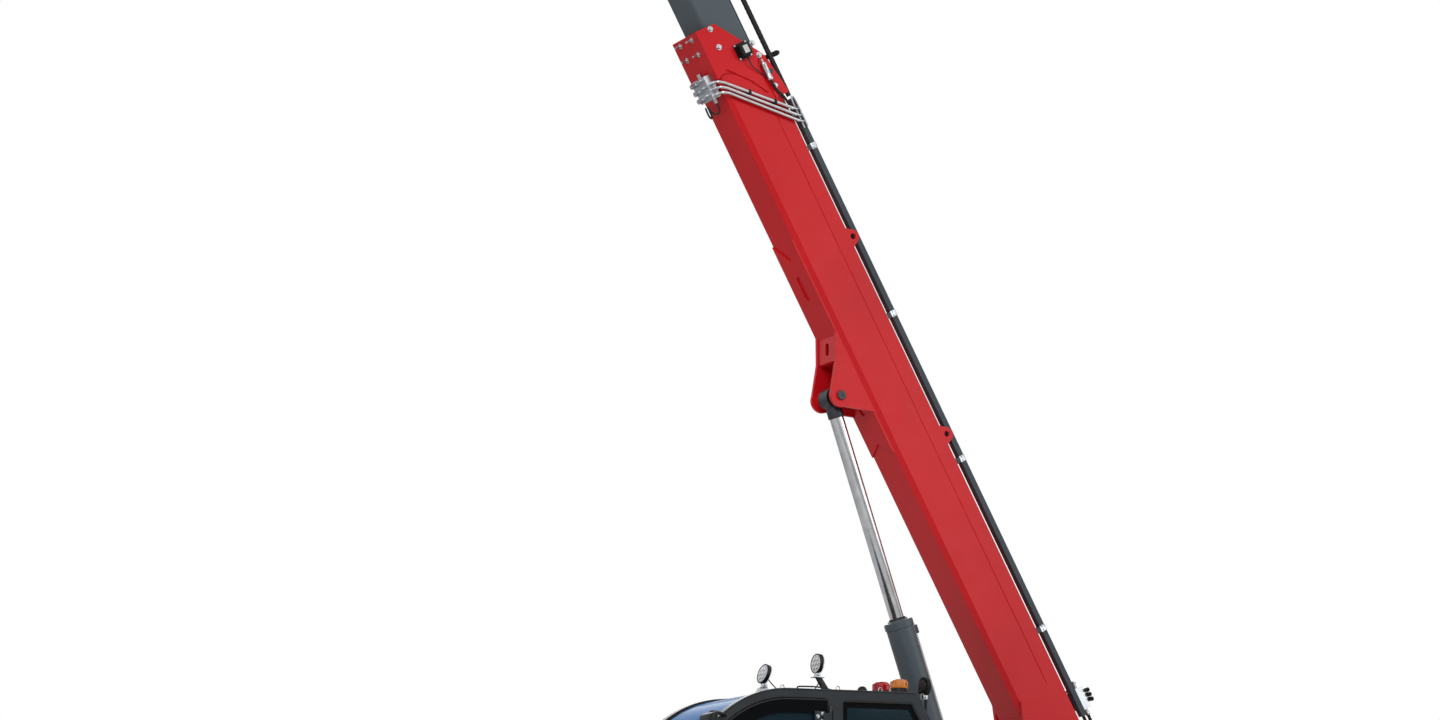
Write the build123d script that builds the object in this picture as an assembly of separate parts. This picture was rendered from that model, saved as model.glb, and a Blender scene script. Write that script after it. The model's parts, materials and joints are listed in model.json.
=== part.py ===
"""Rotating telehandler: a four-wheel chassis with outriggers, a slewing turret with a cab,
and a four-section boom that carries a fork carriage.

Working frame, in millimetres: +X forward, +Y to the machine's left, +Z up, with X = 0 and
Y = 0 on the slew axis and Z = 0 on the ground. Each piece is drawn in this frame and moved
by MIDDLE_X on export, so that the finished part's origin lies on the ground under the
middle of its overall length. The boom is drawn straight, in its own frame (X along the
boom, Z square to it, origin on the boom pivot), and then raised to BOOM_ANGLE.
"""
from build123d import *
import math
import os

# ---- Running clearances -----------------------------------------------------------------
FIT = 0.3                  # round a pin, a shaft or a wear pad
MOVE_GAP = 6.0             # between pieces that move past each other

# ---- Wheels, axles and steering ---------------------------------------------------------
WHEELBASE = 3200.0
TRACK = 2060.0
TYRE_RADIUS = 575.0
TYRE_WIDTH = 440.0
RIM_RADIUS = 292.0
RIM_WALL = 16.0
DISC_THICKNESS = 18.0
HUB_RADIUS = 150.0
SPINDLE_RADIUS = 62.0
KINGPIN_Y = 740.0
KINGPIN_RADIUS = 30.0
KNUCKLE_RADIUS = 85.0
KNUCKLE_HEIGHT = 290.0
YOKE_ARM = 40.0
YOKE_WIDTH = 120.0
AXLE_TUBE_RADIUS = 120.0
DIFFERENTIAL_RADIUS = 215.0
TREAD_BARS = 18
TREAD_DEPTH = 22.0
TREAD_GAP = 52.0
TREAD_NOTCH = 120.0
HAND_HOLES = 10
HAND_HOLE_RADIUS = 27.0

# ---- Chassis ----------------------------------------------------------------------------
OVERHANG = 1450.0          # from an axle to that end of the chassis
CHASSIS_HALF_LENGTH = WHEELBASE / 2 + OVERHANG
CHASSIS_HALF_WIDTH = 400.0
DECK_TOP = 1120.0
BELLY_BOTTOM = 430.0
TOW_BORE_RADIUS = 32.0
TOW_BORE_Z = 560.0
ARCH_BOTTOM = 800.0
ARCH_HALF_LENGTH = 520.0
GUARD_BOTTOM = 1195.0
GUARD_THICKNESS = 20.0
GUARD_HALF_LENGTH = 640.0
LOCKER_HALF_LENGTH = 740.0
LOCKER_BOTTOM = 470.0
LOCKER_TOP = 1060.0
OVERALL_HALF_WIDTH = TRACK / 2 + TYRE_WIDTH / 2

# ---- Outriggers -------------------------------------------------------------------------
FRAME_LENGTH = 600.0
FRAME_PLATE = 25.0
FRAME_HALF_WIDTH = 760.0
FRAME_BOTTOM = 470.0
BEAM_WIDTH = 210.0
BEAM_HEIGHT = 210.0
BEAM_WALL = 14.0
BEAM_PIVOT_Y = 450.0
BEAM_PIVOT_Z = 690.0
BEAM_LENGTH = 1340.0
BEAM_REST_ANGLE = 8.0
BEAM_PIN_RADIUS = 35.0
INNER_WIDTH = 168.0
INNER_HEIGHT = 168.0
INNER_LENGTH = 1250.0
INNER_SHOWS = 60.0
LEG_LENGTH = 470.0
PAD_RADIUS = 210.0

# ---- Slew ring and turret ---------------------------------------------------------------
RING_RADIUS = 620.0
RING_BORE = 440.0
RING_LOWER_TOP = 1225.0
TURRET_BOTTOM = 1340.0
TURRET_FLOOR = 1400.0
TURRET_FRONT = 1980.0
TURRET_REAR = 2120.0
TURRET_HALF_WIDTH = 1225.0
CHEEK_INNER_Y = 202.0
CHEEK_THICKNESS = 40.0
COUNTERWEIGHT_LENGTH = 640.0
COUNTERWEIGHT_TOP = 2240.0
COUNTERWEIGHT_CORNER = 260.0

# ---- Engine housing, on the right -------------------------------------------------------
BAY_REAR = -2060.0
BAY_FRONT = 860.0
BAY_INNER_Y = -300.0
BAY_OUTER_Y = -1225.0
BAY_TOP = 2240.0
BAY_WALL = 30.0
LID_SKIRT = 620.0
LID_THICKNESS = 24.0
LID_HINGE_RADIUS = LID_THICKNESS / 2
LOUVRE_COUNT = 16
LOUVRE_MARGIN = 420.0
EXHAUST_RADIUS = 52.0
EXHAUST_HEIGHT = 430.0
ENGINE_SIZE = (1150.0, 620.0, 620.0)

# ---- Tank, on the left behind the cab ---------------------------------------------------
TANK_REAR = -2060.0
TANK_FRONT = 10.0
TANK_TOP = 1980.0

# ---- Cab --------------------------------------------------------------------------------
CAB_REAR = 35.0
CAB_RIGHT = 300.0
CAB_LEFT = 1210.0
CAB_WALL = 46.0
CAB_HEIGHT = 1662.0
CAB_ROOF_FALL = 32.0
CAB_ROOF_REAR = TURRET_FLOOR + CAB_HEIGHT
CAB_ROOF_FRONT = CAB_ROOF_REAR - CAB_ROOF_FALL
CAB_SHOULDER_RUN = 123.0   # the rear slants in to the roof over this length and height
CAB_SHOULDER_DROP = 201.0
CAB_PILLAR = 61.0
WINDOW_CORNER = 55.0
WINDOW_RAIL = 70.0
GLASS_INSET = 14.0
GLASS_THICKNESS = 6.0
DOOR_REAR = 866.0
DOOR_SILL_HEIGHT = 100.0
DOOR_SILL = TURRET_FLOOR + DOOR_SILL_HEIGHT
DOOR_TOP = CAB_ROOF_FRONT - CAB_PILLAR
DOOR_CORNER = 45.0
DOOR_THICKNESS = 40.0
DOOR_FRAME = 70.0
DOOR_HINGE_RADIUS = 14.0
DOOR_HINGES = (DOOR_SILL + 250.0, DOOR_TOP - 124.0)
LAMP_RADIUS = 70.0
LAMP_DEPTH = 34.0
BEACON_RADIUS = 64.0
BEACON_TABLE = (
    # behind the roof's own front, and place across
    (156.0, 1050.0),
    (176.0, 850.0),
)

# ---- Boom -------------------------------------------------------------------------------
BOOM_ANGLE = 59.6
BOOM_PIVOT_X = -1613.0
BOOM_PIVOT_Z = 2668.0
BOOM_PIN_RADIUS = 55.0
BOOM_UNDERSIDE = 72.0      # the base tube's underside, above the pivot's centre
BASE_HEIGHT = 450.0
BASE_WIDTH = 330.0
BASE_WALL = 10.0
BASE_TAIL = 300.0
BASE_FRONT = 6045.0
BASE_BEVEL = 338.0         # how much shorter the base tube is along its top
CORNER_ACROSS = 24.0
CORNER_UP = 36.0
COLLAR_PLATE = 12.0
DOUBLER_START = 2630.0
DOUBLER_END = 4370.0
LUG_T = 3186.0
LUG_DROP = 140.0           # lift cylinder pin, below the boom pivot's level
LUG_RADIUS = 88.0
LUG_INNER_Y = 145.0
LUG_THICKNESS = 25.0
LIFT_PIN_RADIUS = 38.0
NEST_RISE = 24.5           # how far the inner sections ride above the base's middle
BOOM_CENTRE = BOOM_UNDERSIDE + BASE_HEIGHT / 2 + NEST_RISE
EYE_TABLE = (4193.0, 2559.0)    # lifting eyes, from the pivot along the boom

# ---- Telescoping sections: outside width and height, wall, length, reach past the last ---
SECTION_TABLE = (
    # name, width, height, wall, length, reach, collar
    ("boom_section_2", 282.0, 324.0, 9.0, 5900.0, 700.0, 260.0),
    ("boom_section_3", 236.0, 278.0, 8.0, 5900.0, 600.0, 200.0),
    ("boom_section_4", 192.0, 234.0, 8.0, 5750.0, 600.0, 0.0),
)
PAD_LENGTH = 170.0

# ---- Head, carriage and forks -----------------------------------------------------------
HEAD_PIN_T = 8700.0
HEAD_PIN_N = -850.0
HEAD_PIN_RADIUS = 40.0
HEAD_BOSS_RADIUS = 125.0
CARRIAGE_SETBACK = 175.0
CARRIAGE_HALF_WIDTH = 620.0
CARRIAGE_TOP = 300.0
CARRIAGE_BOTTOM = -400.0
CARRIAGE_BAR = 80.0
CARRIAGE_PLATE = 30.0
FORK_SPREAD = 760.0
FORK_WIDTH = 130.0
FORK_THICKNESS = 50.0
FORK_LENGTH = 1200.0
FORK_HEIGHT = 820.0

TRAY_SETBACK = 735.0
TRAY_BRACKETS = (916.0, 2333.0, 3537.0, 4922.0)
TRAY_RISE = 54.0
TRAY_HEIGHT = 44.0
TRAY_RIGHT = 98.0
TRAY_LEFT = 148.0
TRAY_WALL = 6.0

# ---- Pipes, valves and sensor on the boom -----------------------------------------------
PIPE_RADIUS = 11.0
PIPE_BEND = 28.0
PIPE_TABLE = (
    # start, bend and end of each pipe, behind the base tube's front edge
    (392.0, 423.0, 806.0),
    (435.0, 466.0, 857.0),
    (478.0, 509.0, 907.0),
)
MANIFOLD = (320.0, 500.0, 72.0)     # front and rear edge behind the tube's front, depth
MANIFOLD_RIGHT = -60.0
MANIFOLD_LEFT = 120.0
CARRIER_WIDTH = 26.0
CARRIER_HEIGHT = 26.0
LINE_RADIUS = 9.0
SENSOR_T = 5779.0
SENSOR_N = 362.0
SENSOR_SIDE = 122.0
SENSOR_DEPTH = 62.0

# ---- Lift cylinder ----------------------------------------------------------------------
LIFT_ANGLE = 70.0
LIFT_FOOT_RISE = 468.3      # from the turret's floor up to the foot pin
BARREL_RADIUS = 104.0
BARREL_WALL = 14.0
BARREL_LENGTH = 1990.0
BARREL_EYE_RADIUS = 110.0
BARREL_EYE_HALF = 80.0
ROD_RADIUS = 54.0
ROD_INSIDE = 620.0
ROD_EYE_RADIUS = 75.0
ROD_EYE_HALF = 58.0

# ---- Overall length, which sets where the origin lies -----------------------------------
ANGLE = math.radians(BOOM_ANGLE)
HEAD_X = BOOM_PIVOT_X + HEAD_PIN_T * math.cos(ANGLE) - HEAD_PIN_N * math.sin(ANGLE)
HEAD_Z = BOOM_PIVOT_Z + HEAD_PIN_T * math.sin(ANGLE) + HEAD_PIN_N * math.cos(ANGLE)
FORK_FACE_X = HEAD_X + CARRIAGE_SETBACK + CARRIAGE_BAR + FORK_THICKNESS
FRONT_REACH = FORK_FACE_X + FORK_LENGTH
REAR_REACH = CHASSIS_HALF_LENGTH
MIDDLE_X = (FRONT_REACH - REAR_REACH) / 2

LIFT_PIN_X = BOOM_PIVOT_X + LUG_T * math.cos(ANGLE) + LUG_DROP * math.sin(ANGLE)
LIFT_PIN_Z = BOOM_PIVOT_Z + LUG_T * math.sin(ANGLE) - LUG_DROP * math.cos(ANGLE)
LIFT_FOOT_Z = TURRET_FLOOR + LIFT_FOOT_RISE
LIFT_LENGTH = (LIFT_PIN_Z - LIFT_FOOT_Z) / math.sin(math.radians(LIFT_ANGLE))
LIFT_FOOT_X = LIFT_PIN_X - LIFT_LENGTH * math.cos(math.radians(LIFT_ANGLE))
BOOM_PLACE = Pos(BOOM_PIVOT_X, 0, BOOM_PIVOT_Z) * Rot(0, -BOOM_ANGLE, 0)
LIFT_PLACE = Pos(LIFT_FOOT_X, 0, LIFT_FOOT_Z) * Rot(0, -LIFT_ANGLE, 0)

# ---- The four wheel stations and the four outriggers ------------------------------------
CORNER_TABLE = (
    # name, front or rear (+1, -1), left or right (+1, -1)
    ("front_left", 1, 1),
    ("front_right", 1, -1),
    ("rear_left", -1, 1),
    ("rear_right", -1, -1),
)


# ---- Shapes that the sub-parts share ----------------------------------------------------
def block(x0, x1, y0, y1, z0, z1):
    """A box given by its two corners."""
    size = Box(x1 - x0, y1 - y0, z1 - z0)
    return Pos((x0 + x1) / 2, (y0 + y1) / 2, (z0 + z1) / 2) * size


def rod_x(radius, x0, x1, y, z):
    """A cylinder along X."""
    return Pos((x0 + x1) / 2, y, z) * Rot(0, 90, 0) * Cylinder(radius, abs(x1 - x0))


def rod_y(radius, x, y0, y1, z):
    """A cylinder along Y."""
    return Pos(x, (y0 + y1) / 2, z) * Rot(90, 0, 0) * Cylinder(radius, abs(y1 - y0))


def rod_z(radius, x, y, z0, z1):
    """A cylinder along Z."""
    return Pos(x, y, (z0 + z1) / 2) * Cylinder(radius, z1 - z0)


def side_face(points, rounding=0.0):
    """A closed outline in the XZ plane, its corners rounded if a radius is given."""
    outline = Plane.XZ * Polygon(*points, align=None)
    if rounding:
        outline = fillet(outline.vertices(), rounding)
    return outline


def side_plate(points, y0, y1, rounding=0.0):
    """An outline in the XZ plane made into a plate from y0 to y1."""
    return across(side_face(points, rounding), y0, y1)


def across(outline, y0, y1):
    """An outline in the XZ plane extruded from y0 to y1."""
    return Pos(0, y0, 0) * extrude(outline, y1 - y0, dir=(0, 1, 0))


def end_plate(points, x0, x1, rounding=0.0):
    """An outline in the YZ plane made into a plate from x0 to x1."""
    outline = Plane.YZ * Polygon(*points, align=None)
    if rounding:
        outline = fillet(outline.vertices(), rounding)
    return Pos(x0, 0, 0) * extrude(outline, x1 - x0, dir=(1, 0, 0))


def top_plate(points, z0, z1, rounding=0.0):
    """An outline in the XY plane made into a plate from z0 to z1."""
    outline = Polygon(*points, align=None)
    if rounding:
        outline = fillet(outline.vertices(), rounding)
    return Pos(0, 0, z0) * extrude(outline, z1 - z0, dir=(0, 0, 1))


def ring_y(x, z, y0, y1, outer, inner):
    """A tube about an axis along Y."""
    return rod_y(outer, x, y0, y1, z) - rod_y(inner, x, y0 - 1, y1 + 1, z)


# ---- Chassis ----------------------------------------------------------------------------
def chassis_frame():
    """The hull with its wheel arches, and a box frame at each end for the outriggers."""
    frame_inner = CHASSIS_HALF_LENGTH - FRAME_LENGTH
    half_base = WHEELBASE / 2
    arch = ((half_base - ARCH_HALF_LENGTH), (half_base + ARCH_HALF_LENGTH))
    half = [
        (frame_inner, DECK_TOP),
        (frame_inner, BELLY_BOTTOM + 130),
        (arch[1] + 160, BELLY_BOTTOM + 130),
        (arch[1], ARCH_BOTTOM),
        (arch[0], ARCH_BOTTOM),
        (arch[0] - 170, BELLY_BOTTOM),
    ]
    outline = half + [(-x, z) for x, z in reversed(half)]
    hull = side_plate(outline, -CHASSIS_HALF_WIDTH, CHASSIS_HALF_WIDTH)
    frame = hull
    for end in (1, -1):
        x_in = end * (CHASSIS_HALF_LENGTH - FRAME_LENGTH)
        x_mid = end * (CHASSIS_HALF_LENGTH - FRAME_LENGTH / 2)
        x_out = end * (CHASSIS_HALF_LENGTH - FRAME_PLATE / 2)
        plate_profile = [
            (-FRAME_HALF_WIDTH, FRAME_BOTTOM + 140),
            (-FRAME_HALF_WIDTH + 150, FRAME_BOTTOM),
            (FRAME_HALF_WIDTH - 150, FRAME_BOTTOM),
            (FRAME_HALF_WIDTH, FRAME_BOTTOM + 140),
            (FRAME_HALF_WIDTH, DECK_TOP),
            (-FRAME_HALF_WIDTH, DECK_TOP),
        ]
        for x in (x_in + end * FRAME_PLATE / 2, x_mid, x_out):
            frame += end_plate(plate_profile, x - FRAME_PLATE / 2, x + FRAME_PLATE / 2)
        frame += block(
            min(x_in, end * CHASSIS_HALF_LENGTH),
            max(x_in, end * CHASSIS_HALF_LENGTH),
            -FRAME_HALF_WIDTH,
            FRAME_HALF_WIDTH,
            DECK_TOP - FRAME_PLATE,
            DECK_TOP,
        )
        for side in (1, -1):
            x = outrigger_x(end, side)
            reach = FRAME_LENGTH / 4
            frame += rod_x(BEAM_PIN_RADIUS, x - reach, x + reach, -side * BEAM_PIVOT_Y,
                           BEAM_PIVOT_Z)
        frame -= rod_x(TOW_BORE_RADIUS, *sorted((x_out - 20, x_out + 20)), 0, TOW_BORE_Z)
    return frame


def axle(end):
    """One steering axle: differential, tube, and a yoke at each end with its kingpins."""
    x = end * WHEELBASE / 2
    z = TYRE_RADIUS
    web_y = KINGPIN_Y - KNUCKLE_RADIUS - MOVE_GAP * 2
    body = rod_y(AXLE_TUBE_RADIUS, x, -web_y, web_y, z)
    body += Pos(x, 0, z) * Sphere(DIFFERENTIAL_RADIUS)
    for side in (1, -1):
        arm_z = KNUCKLE_HEIGHT / 2 + MOVE_GAP
        y0, y1 = sorted((side * (web_y - 45), side * web_y))
        body += block(x - 110, x + 110, y0, y1, z - arm_z - YOKE_ARM, z + arm_z + YOKE_ARM)
        for up in (1, -1):
            z0, z1 = sorted((z + up * arm_z, z + up * (arm_z + YOKE_ARM)))
            a0, a1 = sorted((side * (web_y - 20), side * KINGPIN_Y))
            arm = block(x - YOKE_WIDTH / 2, x + YOKE_WIDTH / 2, a0, a1, z0, z1)
            arm += rod_z(YOKE_WIDTH / 2, x, side * KINGPIN_Y, z0, z1)
            body += arm
            p0, p1 = sorted((z + up * (arm_z + YOKE_ARM), z + up * (arm_z - 60)))
            body += rod_z(KINGPIN_RADIUS, x, side * KINGPIN_Y, p0, p1)
    # Two saddles carry the axle under the hull's arch.
    for saddle_y in (-300, 300):
        body += block(x - 130, x + 130, saddle_y - 45, saddle_y + 45, z, ARCH_BOTTOM)
    return body


def knuckle(end, side):
    """The steered hub carrier, which turns on the kingpins and carries the spindle."""
    x = end * WHEELBASE / 2
    z = TYRE_RADIUS
    y = side * KINGPIN_Y
    half = KNUCKLE_HEIGHT / 2
    body = rod_z(KNUCKLE_RADIUS, x, y, z - half, z + half)
    for z0, z1 in ((z - half, z - half + 60), (z + half - 60, z + half)):
        body -= rod_z(KINGPIN_RADIUS + FIT, x, y, z0 - 1, z1 + 6)
    tip = side * (TRACK / 2 + 60)
    body += rod_y(SPINDLE_RADIUS, x, *sorted((y, tip)), z)
    body += rod_y(120, x, *sorted((y + side * 60, y + side * 100)), z)
    return body


def tyre(end, side):
    """A wide single tyre on its rim's outside, with open bars across each shoulder."""
    x = end * WHEELBASE / 2
    half = TYRE_WIDTH / 2
    bead = RIM_RADIUS
    shoulder = TYRE_RADIUS - TREAD_DEPTH
    section = Polygon(
        (bead, -half + 70),
        (bead + 50, -half + 22),
        (bead + 140, -half),
        (shoulder - 60, -half + 6),
        (shoulder, -half + 40),
        (shoulder, half - 40),
        (shoulder - 60, half - 6),
        (bead + 140, half),
        (bead + 50, half - 22),
        (bead, half - 70),
        align=None,
    )
    carcass = revolve(Plane.XZ * section, Axis.Z)
    band = Cylinder(TYRE_RADIUS, TYRE_WIDTH - 90) - Cylinder(shoulder - 6, TYRE_WIDTH)
    reach = TREAD_DEPTH * 2
    notch = Pos(TYRE_RADIUS, 0, half - 45) * Box(reach, TREAD_GAP, TREAD_NOTCH * 2)
    turns = [360 / TREAD_BARS * bar for bar in range(TREAD_BARS)]
    band -= [Rot(0, 0, turn) * notch for turn in turns]
    low = Pos(TYRE_RADIUS, 0, 45 - half) * Box(reach, TREAD_GAP, TREAD_NOTCH * 2)
    band -= [Rot(0, 0, turn + 180 / TREAD_BARS) * low for turn in turns]
    body = Rot(90, 0, 0) * (carcass + band)
    return Pos(x, side * TRACK / 2, TYRE_RADIUS) * body


def rim(end, side):
    """The rim with its disc and the planetary hub, which turns on the spindle."""
    x = end * WHEELBASE / 2
    y = side * TRACK / 2
    z = TYRE_RADIUS
    half = TYRE_WIDTH / 2
    outer = RIM_RADIUS - FIT
    lip = half - 55
    barrel = ring_y(x, z, y - lip, y + lip, outer, outer - RIM_WALL)
    disc_y = y + side * 60
    barrel += rod_y(outer - 4, x, *sorted((disc_y, disc_y + side * DISC_THICKNESS)), z)
    for turn in range(HAND_HOLES):
        angle = 2 * math.pi * turn / HAND_HOLES
        reach = (HUB_RADIUS + outer - RIM_WALL) / 2
        barrel -= rod_y(HAND_HOLE_RADIUS, x + reach * math.cos(angle),
                        *sorted((disc_y - side, disc_y + side * (DISC_THICKNESS + 1))),
                        z + reach * math.sin(angle))
    hub_out = y + side * (half - 10)
    barrel += rod_y(HUB_RADIUS, x, *sorted((disc_y - side * 90, hub_out - side * 30)), z)
    barrel += rod_y(HUB_RADIUS * 0.72, x, *sorted((hub_out - side * 31, hub_out)), z)
    bore_end = side * (TRACK / 2 + 60) + side * MOVE_GAP
    barrel -= rod_y(SPINDLE_RADIUS + FIT, x, *sorted((disc_y - side * 95, bore_end)), z)
    return barrel


def mudguards():
    """A flat wing over each wheel, carried on a web that stands on the hull's deck."""
    pieces = []
    for _, end, side in CORNER_TABLE:
        x = end * WHEELBASE / 2
        length = GUARD_HALF_LENGTH
        top = GUARD_BOTTOM + GUARD_THICKNESS
        wing = side_plate(
            [
                (x - length, GUARD_BOTTOM - 55),
                (x - length + 60, GUARD_BOTTOM),
                (x + length - 60, GUARD_BOTTOM),
                (x + length, GUARD_BOTTOM - 55),
                (x + length, GUARD_BOTTOM - 55 + GUARD_THICKNESS),
                (x + length - 60, top),
                (x - length + 60, top),
                (x - length, GUARD_BOTTOM - 55 + GUARD_THICKNESS),
            ],
            *sorted((side * (CHASSIS_HALF_WIDTH - 30), side * OVERALL_HALF_WIDTH)),
        )
        web_y = sorted((side * (CHASSIS_HALF_WIDTH - 30), side * (CHASSIS_HALF_WIDTH - 10)))
        web = block(x - 300, x + 300, *web_y, DECK_TOP, GUARD_BOTTOM + 2)
        pieces.append(wing + web)
    return pieces


def side_lockers():
    """A step locker on each side between the wheels, with two treads cut in its face."""
    pieces = []
    for side in (1, -1):
        outer = side * (OVERALL_HALF_WIDTH - 15)
        inner = side * CHASSIS_HALF_WIDTH
        length = LOCKER_HALF_LENGTH
        locker = block(-length, length, *sorted((inner, outer)), LOCKER_BOTTOM, LOCKER_TOP)
        for tread_z in (LOCKER_BOTTOM + 60, LOCKER_BOTTOM + 330):
            locker -= block(
                length - 560, length - 80, *sorted((outer - side * 170, outer + side)),
                tread_z, tread_z + 190,
            )
        pieces.append(locker)
    return pieces


def chassis_lamps():
    """Lamp clusters on the outer plate of each outrigger frame."""
    pieces = []
    for end in (1, -1):
        for side in (1, -1):
            y = side * (FRAME_HALF_WIDTH - 110)
            x0, x1 = sorted((end * CHASSIS_HALF_LENGTH, end * (CHASSIS_HALF_LENGTH + 45)))
            pieces.append(block(x0, x1, y - 90, y + 90, DECK_TOP - 150, DECK_TOP - 50))
    return pieces


# ---- Outriggers -------------------------------------------------------------------------
def outrigger_x(end, side):
    """Where a beam lies along the machine: the two beams of an end lie side by side."""
    share = 0.25 if side == end else 0.75
    return end * (CHASSIS_HALF_LENGTH - FRAME_LENGTH * share)


def outrigger_place(end, side):
    """The frame of one beam: X along the beam outwards, from its pivot, at rest."""
    pivot = Pos(outrigger_x(end, side), -side * BEAM_PIVOT_Y, BEAM_PIVOT_Z)
    return pivot * Rot(0, 0, 90 * side) * Rot(0, -BEAM_REST_ANGLE, 0)


def outrigger_beam(end, side):
    """The swinging box beam, which crosses to the far side of the chassis."""
    half_w, half_h = BEAM_WIDTH / 2, BEAM_HEIGHT / 2
    beam = block(-130, BEAM_LENGTH, -half_w, half_w, -half_h, half_h)
    wall = BEAM_WALL
    beam -= block(110, BEAM_LENGTH + 1, -half_w + wall, half_w - wall, -half_h + wall,
                  half_h - wall)
    beam -= rod_y(BEAM_PIN_RADIUS + FIT, 0, -half_w - 1, half_w + 1, 0)
    # Wear pads at the mouth hold the inner beam.
    pad = INNER_HEIGHT / 2 + FIT
    for up in (1, -1):
        z0, z1 = sorted((up * pad, up * (half_h - wall + 1)))
        beam += block(BEAM_LENGTH - 90, BEAM_LENGTH, -60, 60, z0, z1)
    return outrigger_place(end, side) * beam


def outrigger_leg(end, side):
    """The inner beam with its leg and foot pad, which slides out of the swinging beam."""
    half_w, half_h = INNER_WIDTH / 2, INNER_HEIGHT / 2
    tip = BEAM_LENGTH + INNER_SHOWS
    leg_x = tip + 40
    inner = block(tip - INNER_LENGTH, tip, -half_w, half_w, -half_h, half_h)
    inner += block(tip - 30, leg_x + 70, -half_w, half_w, -LEG_LENGTH + 120, half_h)
    inner += rod_z(55, leg_x, 0, -LEG_LENGTH + 20, -LEG_LENGTH + 130)
    inner += rod_z(PAD_RADIUS, leg_x, 0, -LEG_LENGTH, -LEG_LENGTH + 25)
    return outrigger_place(end, side) * inner


# ---- Turret -----------------------------------------------------------------------------
def slew_ring():
    """The ring that is bolted to the chassis."""
    return rod_z(RING_RADIUS, 0, 0, DECK_TOP, RING_LOWER_TOP) - rod_z(
        RING_BORE, 0, 0, DECK_TOP - 1, RING_LOWER_TOP + 1
    )


def turret_frame():
    """The slewing platform with the two cheeks that carry the boom and its cylinder."""
    floor = block(-TURRET_REAR, TURRET_FRONT, -TURRET_HALF_WIDTH, TURRET_HALF_WIDTH,
                  TURRET_BOTTOM, TURRET_FLOOR)
    floor -= block(BAY_FRONT + 40, TURRET_FRONT + 1, -TURRET_HALF_WIDTH - 1,
                   -CHEEK_INNER_Y - 60, TURRET_BOTTOM - 1, TURRET_FLOOR + 1)
    floor += rod_z(RING_RADIUS - 20, 0, 0, RING_LOWER_TOP + FIT, TURRET_BOTTOM)
    cheek_profile = [
        (-TURRET_REAR, TURRET_FLOOR),
        (BOOM_PIVOT_X - 260, BOOM_PIVOT_Z - 420),
        (BOOM_PIVOT_X - 150, BOOM_PIVOT_Z + 120),
        (BOOM_PIVOT_X + 130, BOOM_PIVOT_Z + 130),
        (BOOM_PIVOT_X + 520, BOOM_PIVOT_Z - 480),
        (LIFT_FOOT_X + 420, LIFT_FOOT_Z + 40),
        (LIFT_FOOT_X + 1150, TURRET_FLOOR + 200),
        (TURRET_FRONT - 900, TURRET_FLOOR),
    ]
    frame = floor
    for side in (1, -1):
        y0, y1 = sorted((side * CHEEK_INNER_Y, side * (CHEEK_INNER_Y + CHEEK_THICKNESS)))
        cheek = side_plate(cheek_profile, y0, y1)
        cheek += rod_y(150, BOOM_PIVOT_X, y0, y1, BOOM_PIVOT_Z)
        frame += cheek
    for x, z, radius in (
        (BOOM_PIVOT_X, BOOM_PIVOT_Z, BOOM_PIN_RADIUS),
        (LIFT_FOOT_X, LIFT_FOOT_Z, LIFT_PIN_RADIUS),
    ):
        reach = CHEEK_INNER_Y + CHEEK_THICKNESS + 30
        frame -= rod_y(radius + FIT, x, -reach, reach, z)
    return frame


def turret_pins():
    """The boom pivot pin and the lift cylinder's foot pin, with their end plates."""
    pieces = []
    reach = CHEEK_INNER_Y + CHEEK_THICKNESS
    for x, z, radius in (
        (BOOM_PIVOT_X, BOOM_PIVOT_Z, BOOM_PIN_RADIUS),
        (LIFT_FOOT_X, LIFT_FOOT_Z, LIFT_PIN_RADIUS),
    ):
        pin = rod_y(radius, x, -reach - 12, reach + 12, z)
        for side in (1, -1):
            cap = sorted((side * (reach + FIT), side * (reach + 14)))
            pin += rod_y(radius + 22, x, *cap, z)
        pieces.append(pin)
    return pieces


def counterweight():
    """The cast block across the tail, rounded at its outer corners, open in the middle."""
    x0 = -TURRET_REAR - COUNTERWEIGHT_LENGTH
    x1 = -TURRET_REAR
    w = TURRET_HALF_WIDTH
    body = block(x0, x1, -w, w, TURRET_BOTTOM, COUNTERWEIGHT_TOP)
    tail_edges = body.edges().filter_by(Axis.Z).group_by(Axis.X)[0]
    body = fillet(tail_edges, COUNTERWEIGHT_CORNER)
    body = chamfer(body.faces().sort_by(Axis.Z)[-1].edges().group_by(Axis.X)[0], 70)
    notch = CHEEK_INNER_Y + CHEEK_THICKNESS + 20
    body -= block(x1 - 250, x1 + 1, -notch, notch, TURRET_FLOOR + 380, COUNTERWEIGHT_TOP + 1)
    return body


def exhaust():
    """The stack on the counterweight's right side, its mouth cut on the slant."""
    x, y = -TURRET_REAR - 80, (BAY_INNER_Y + BAY_OUTER_Y) / 2
    high = COUNTERWEIGHT_TOP + EXHAUST_HEIGHT
    stack = rod_z(EXHAUST_RADIUS, x, y, COUNTERWEIGHT_TOP + FIT, high)
    stack += rod_z(EXHAUST_RADIUS + 22, x, y, COUNTERWEIGHT_TOP + FIT, COUNTERWEIGHT_TOP + 14)
    stack -= rod_z(EXHAUST_RADIUS - 4, x, y, COUNTERWEIGHT_TOP + 60, high + 1)
    mouth = side_plate([(x - 90, high - 90), (x + 90, high), (x + 90, high + 90),
                        (x - 90, high + 90)], y - 90, y + 90)
    return stack - mouth


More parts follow.
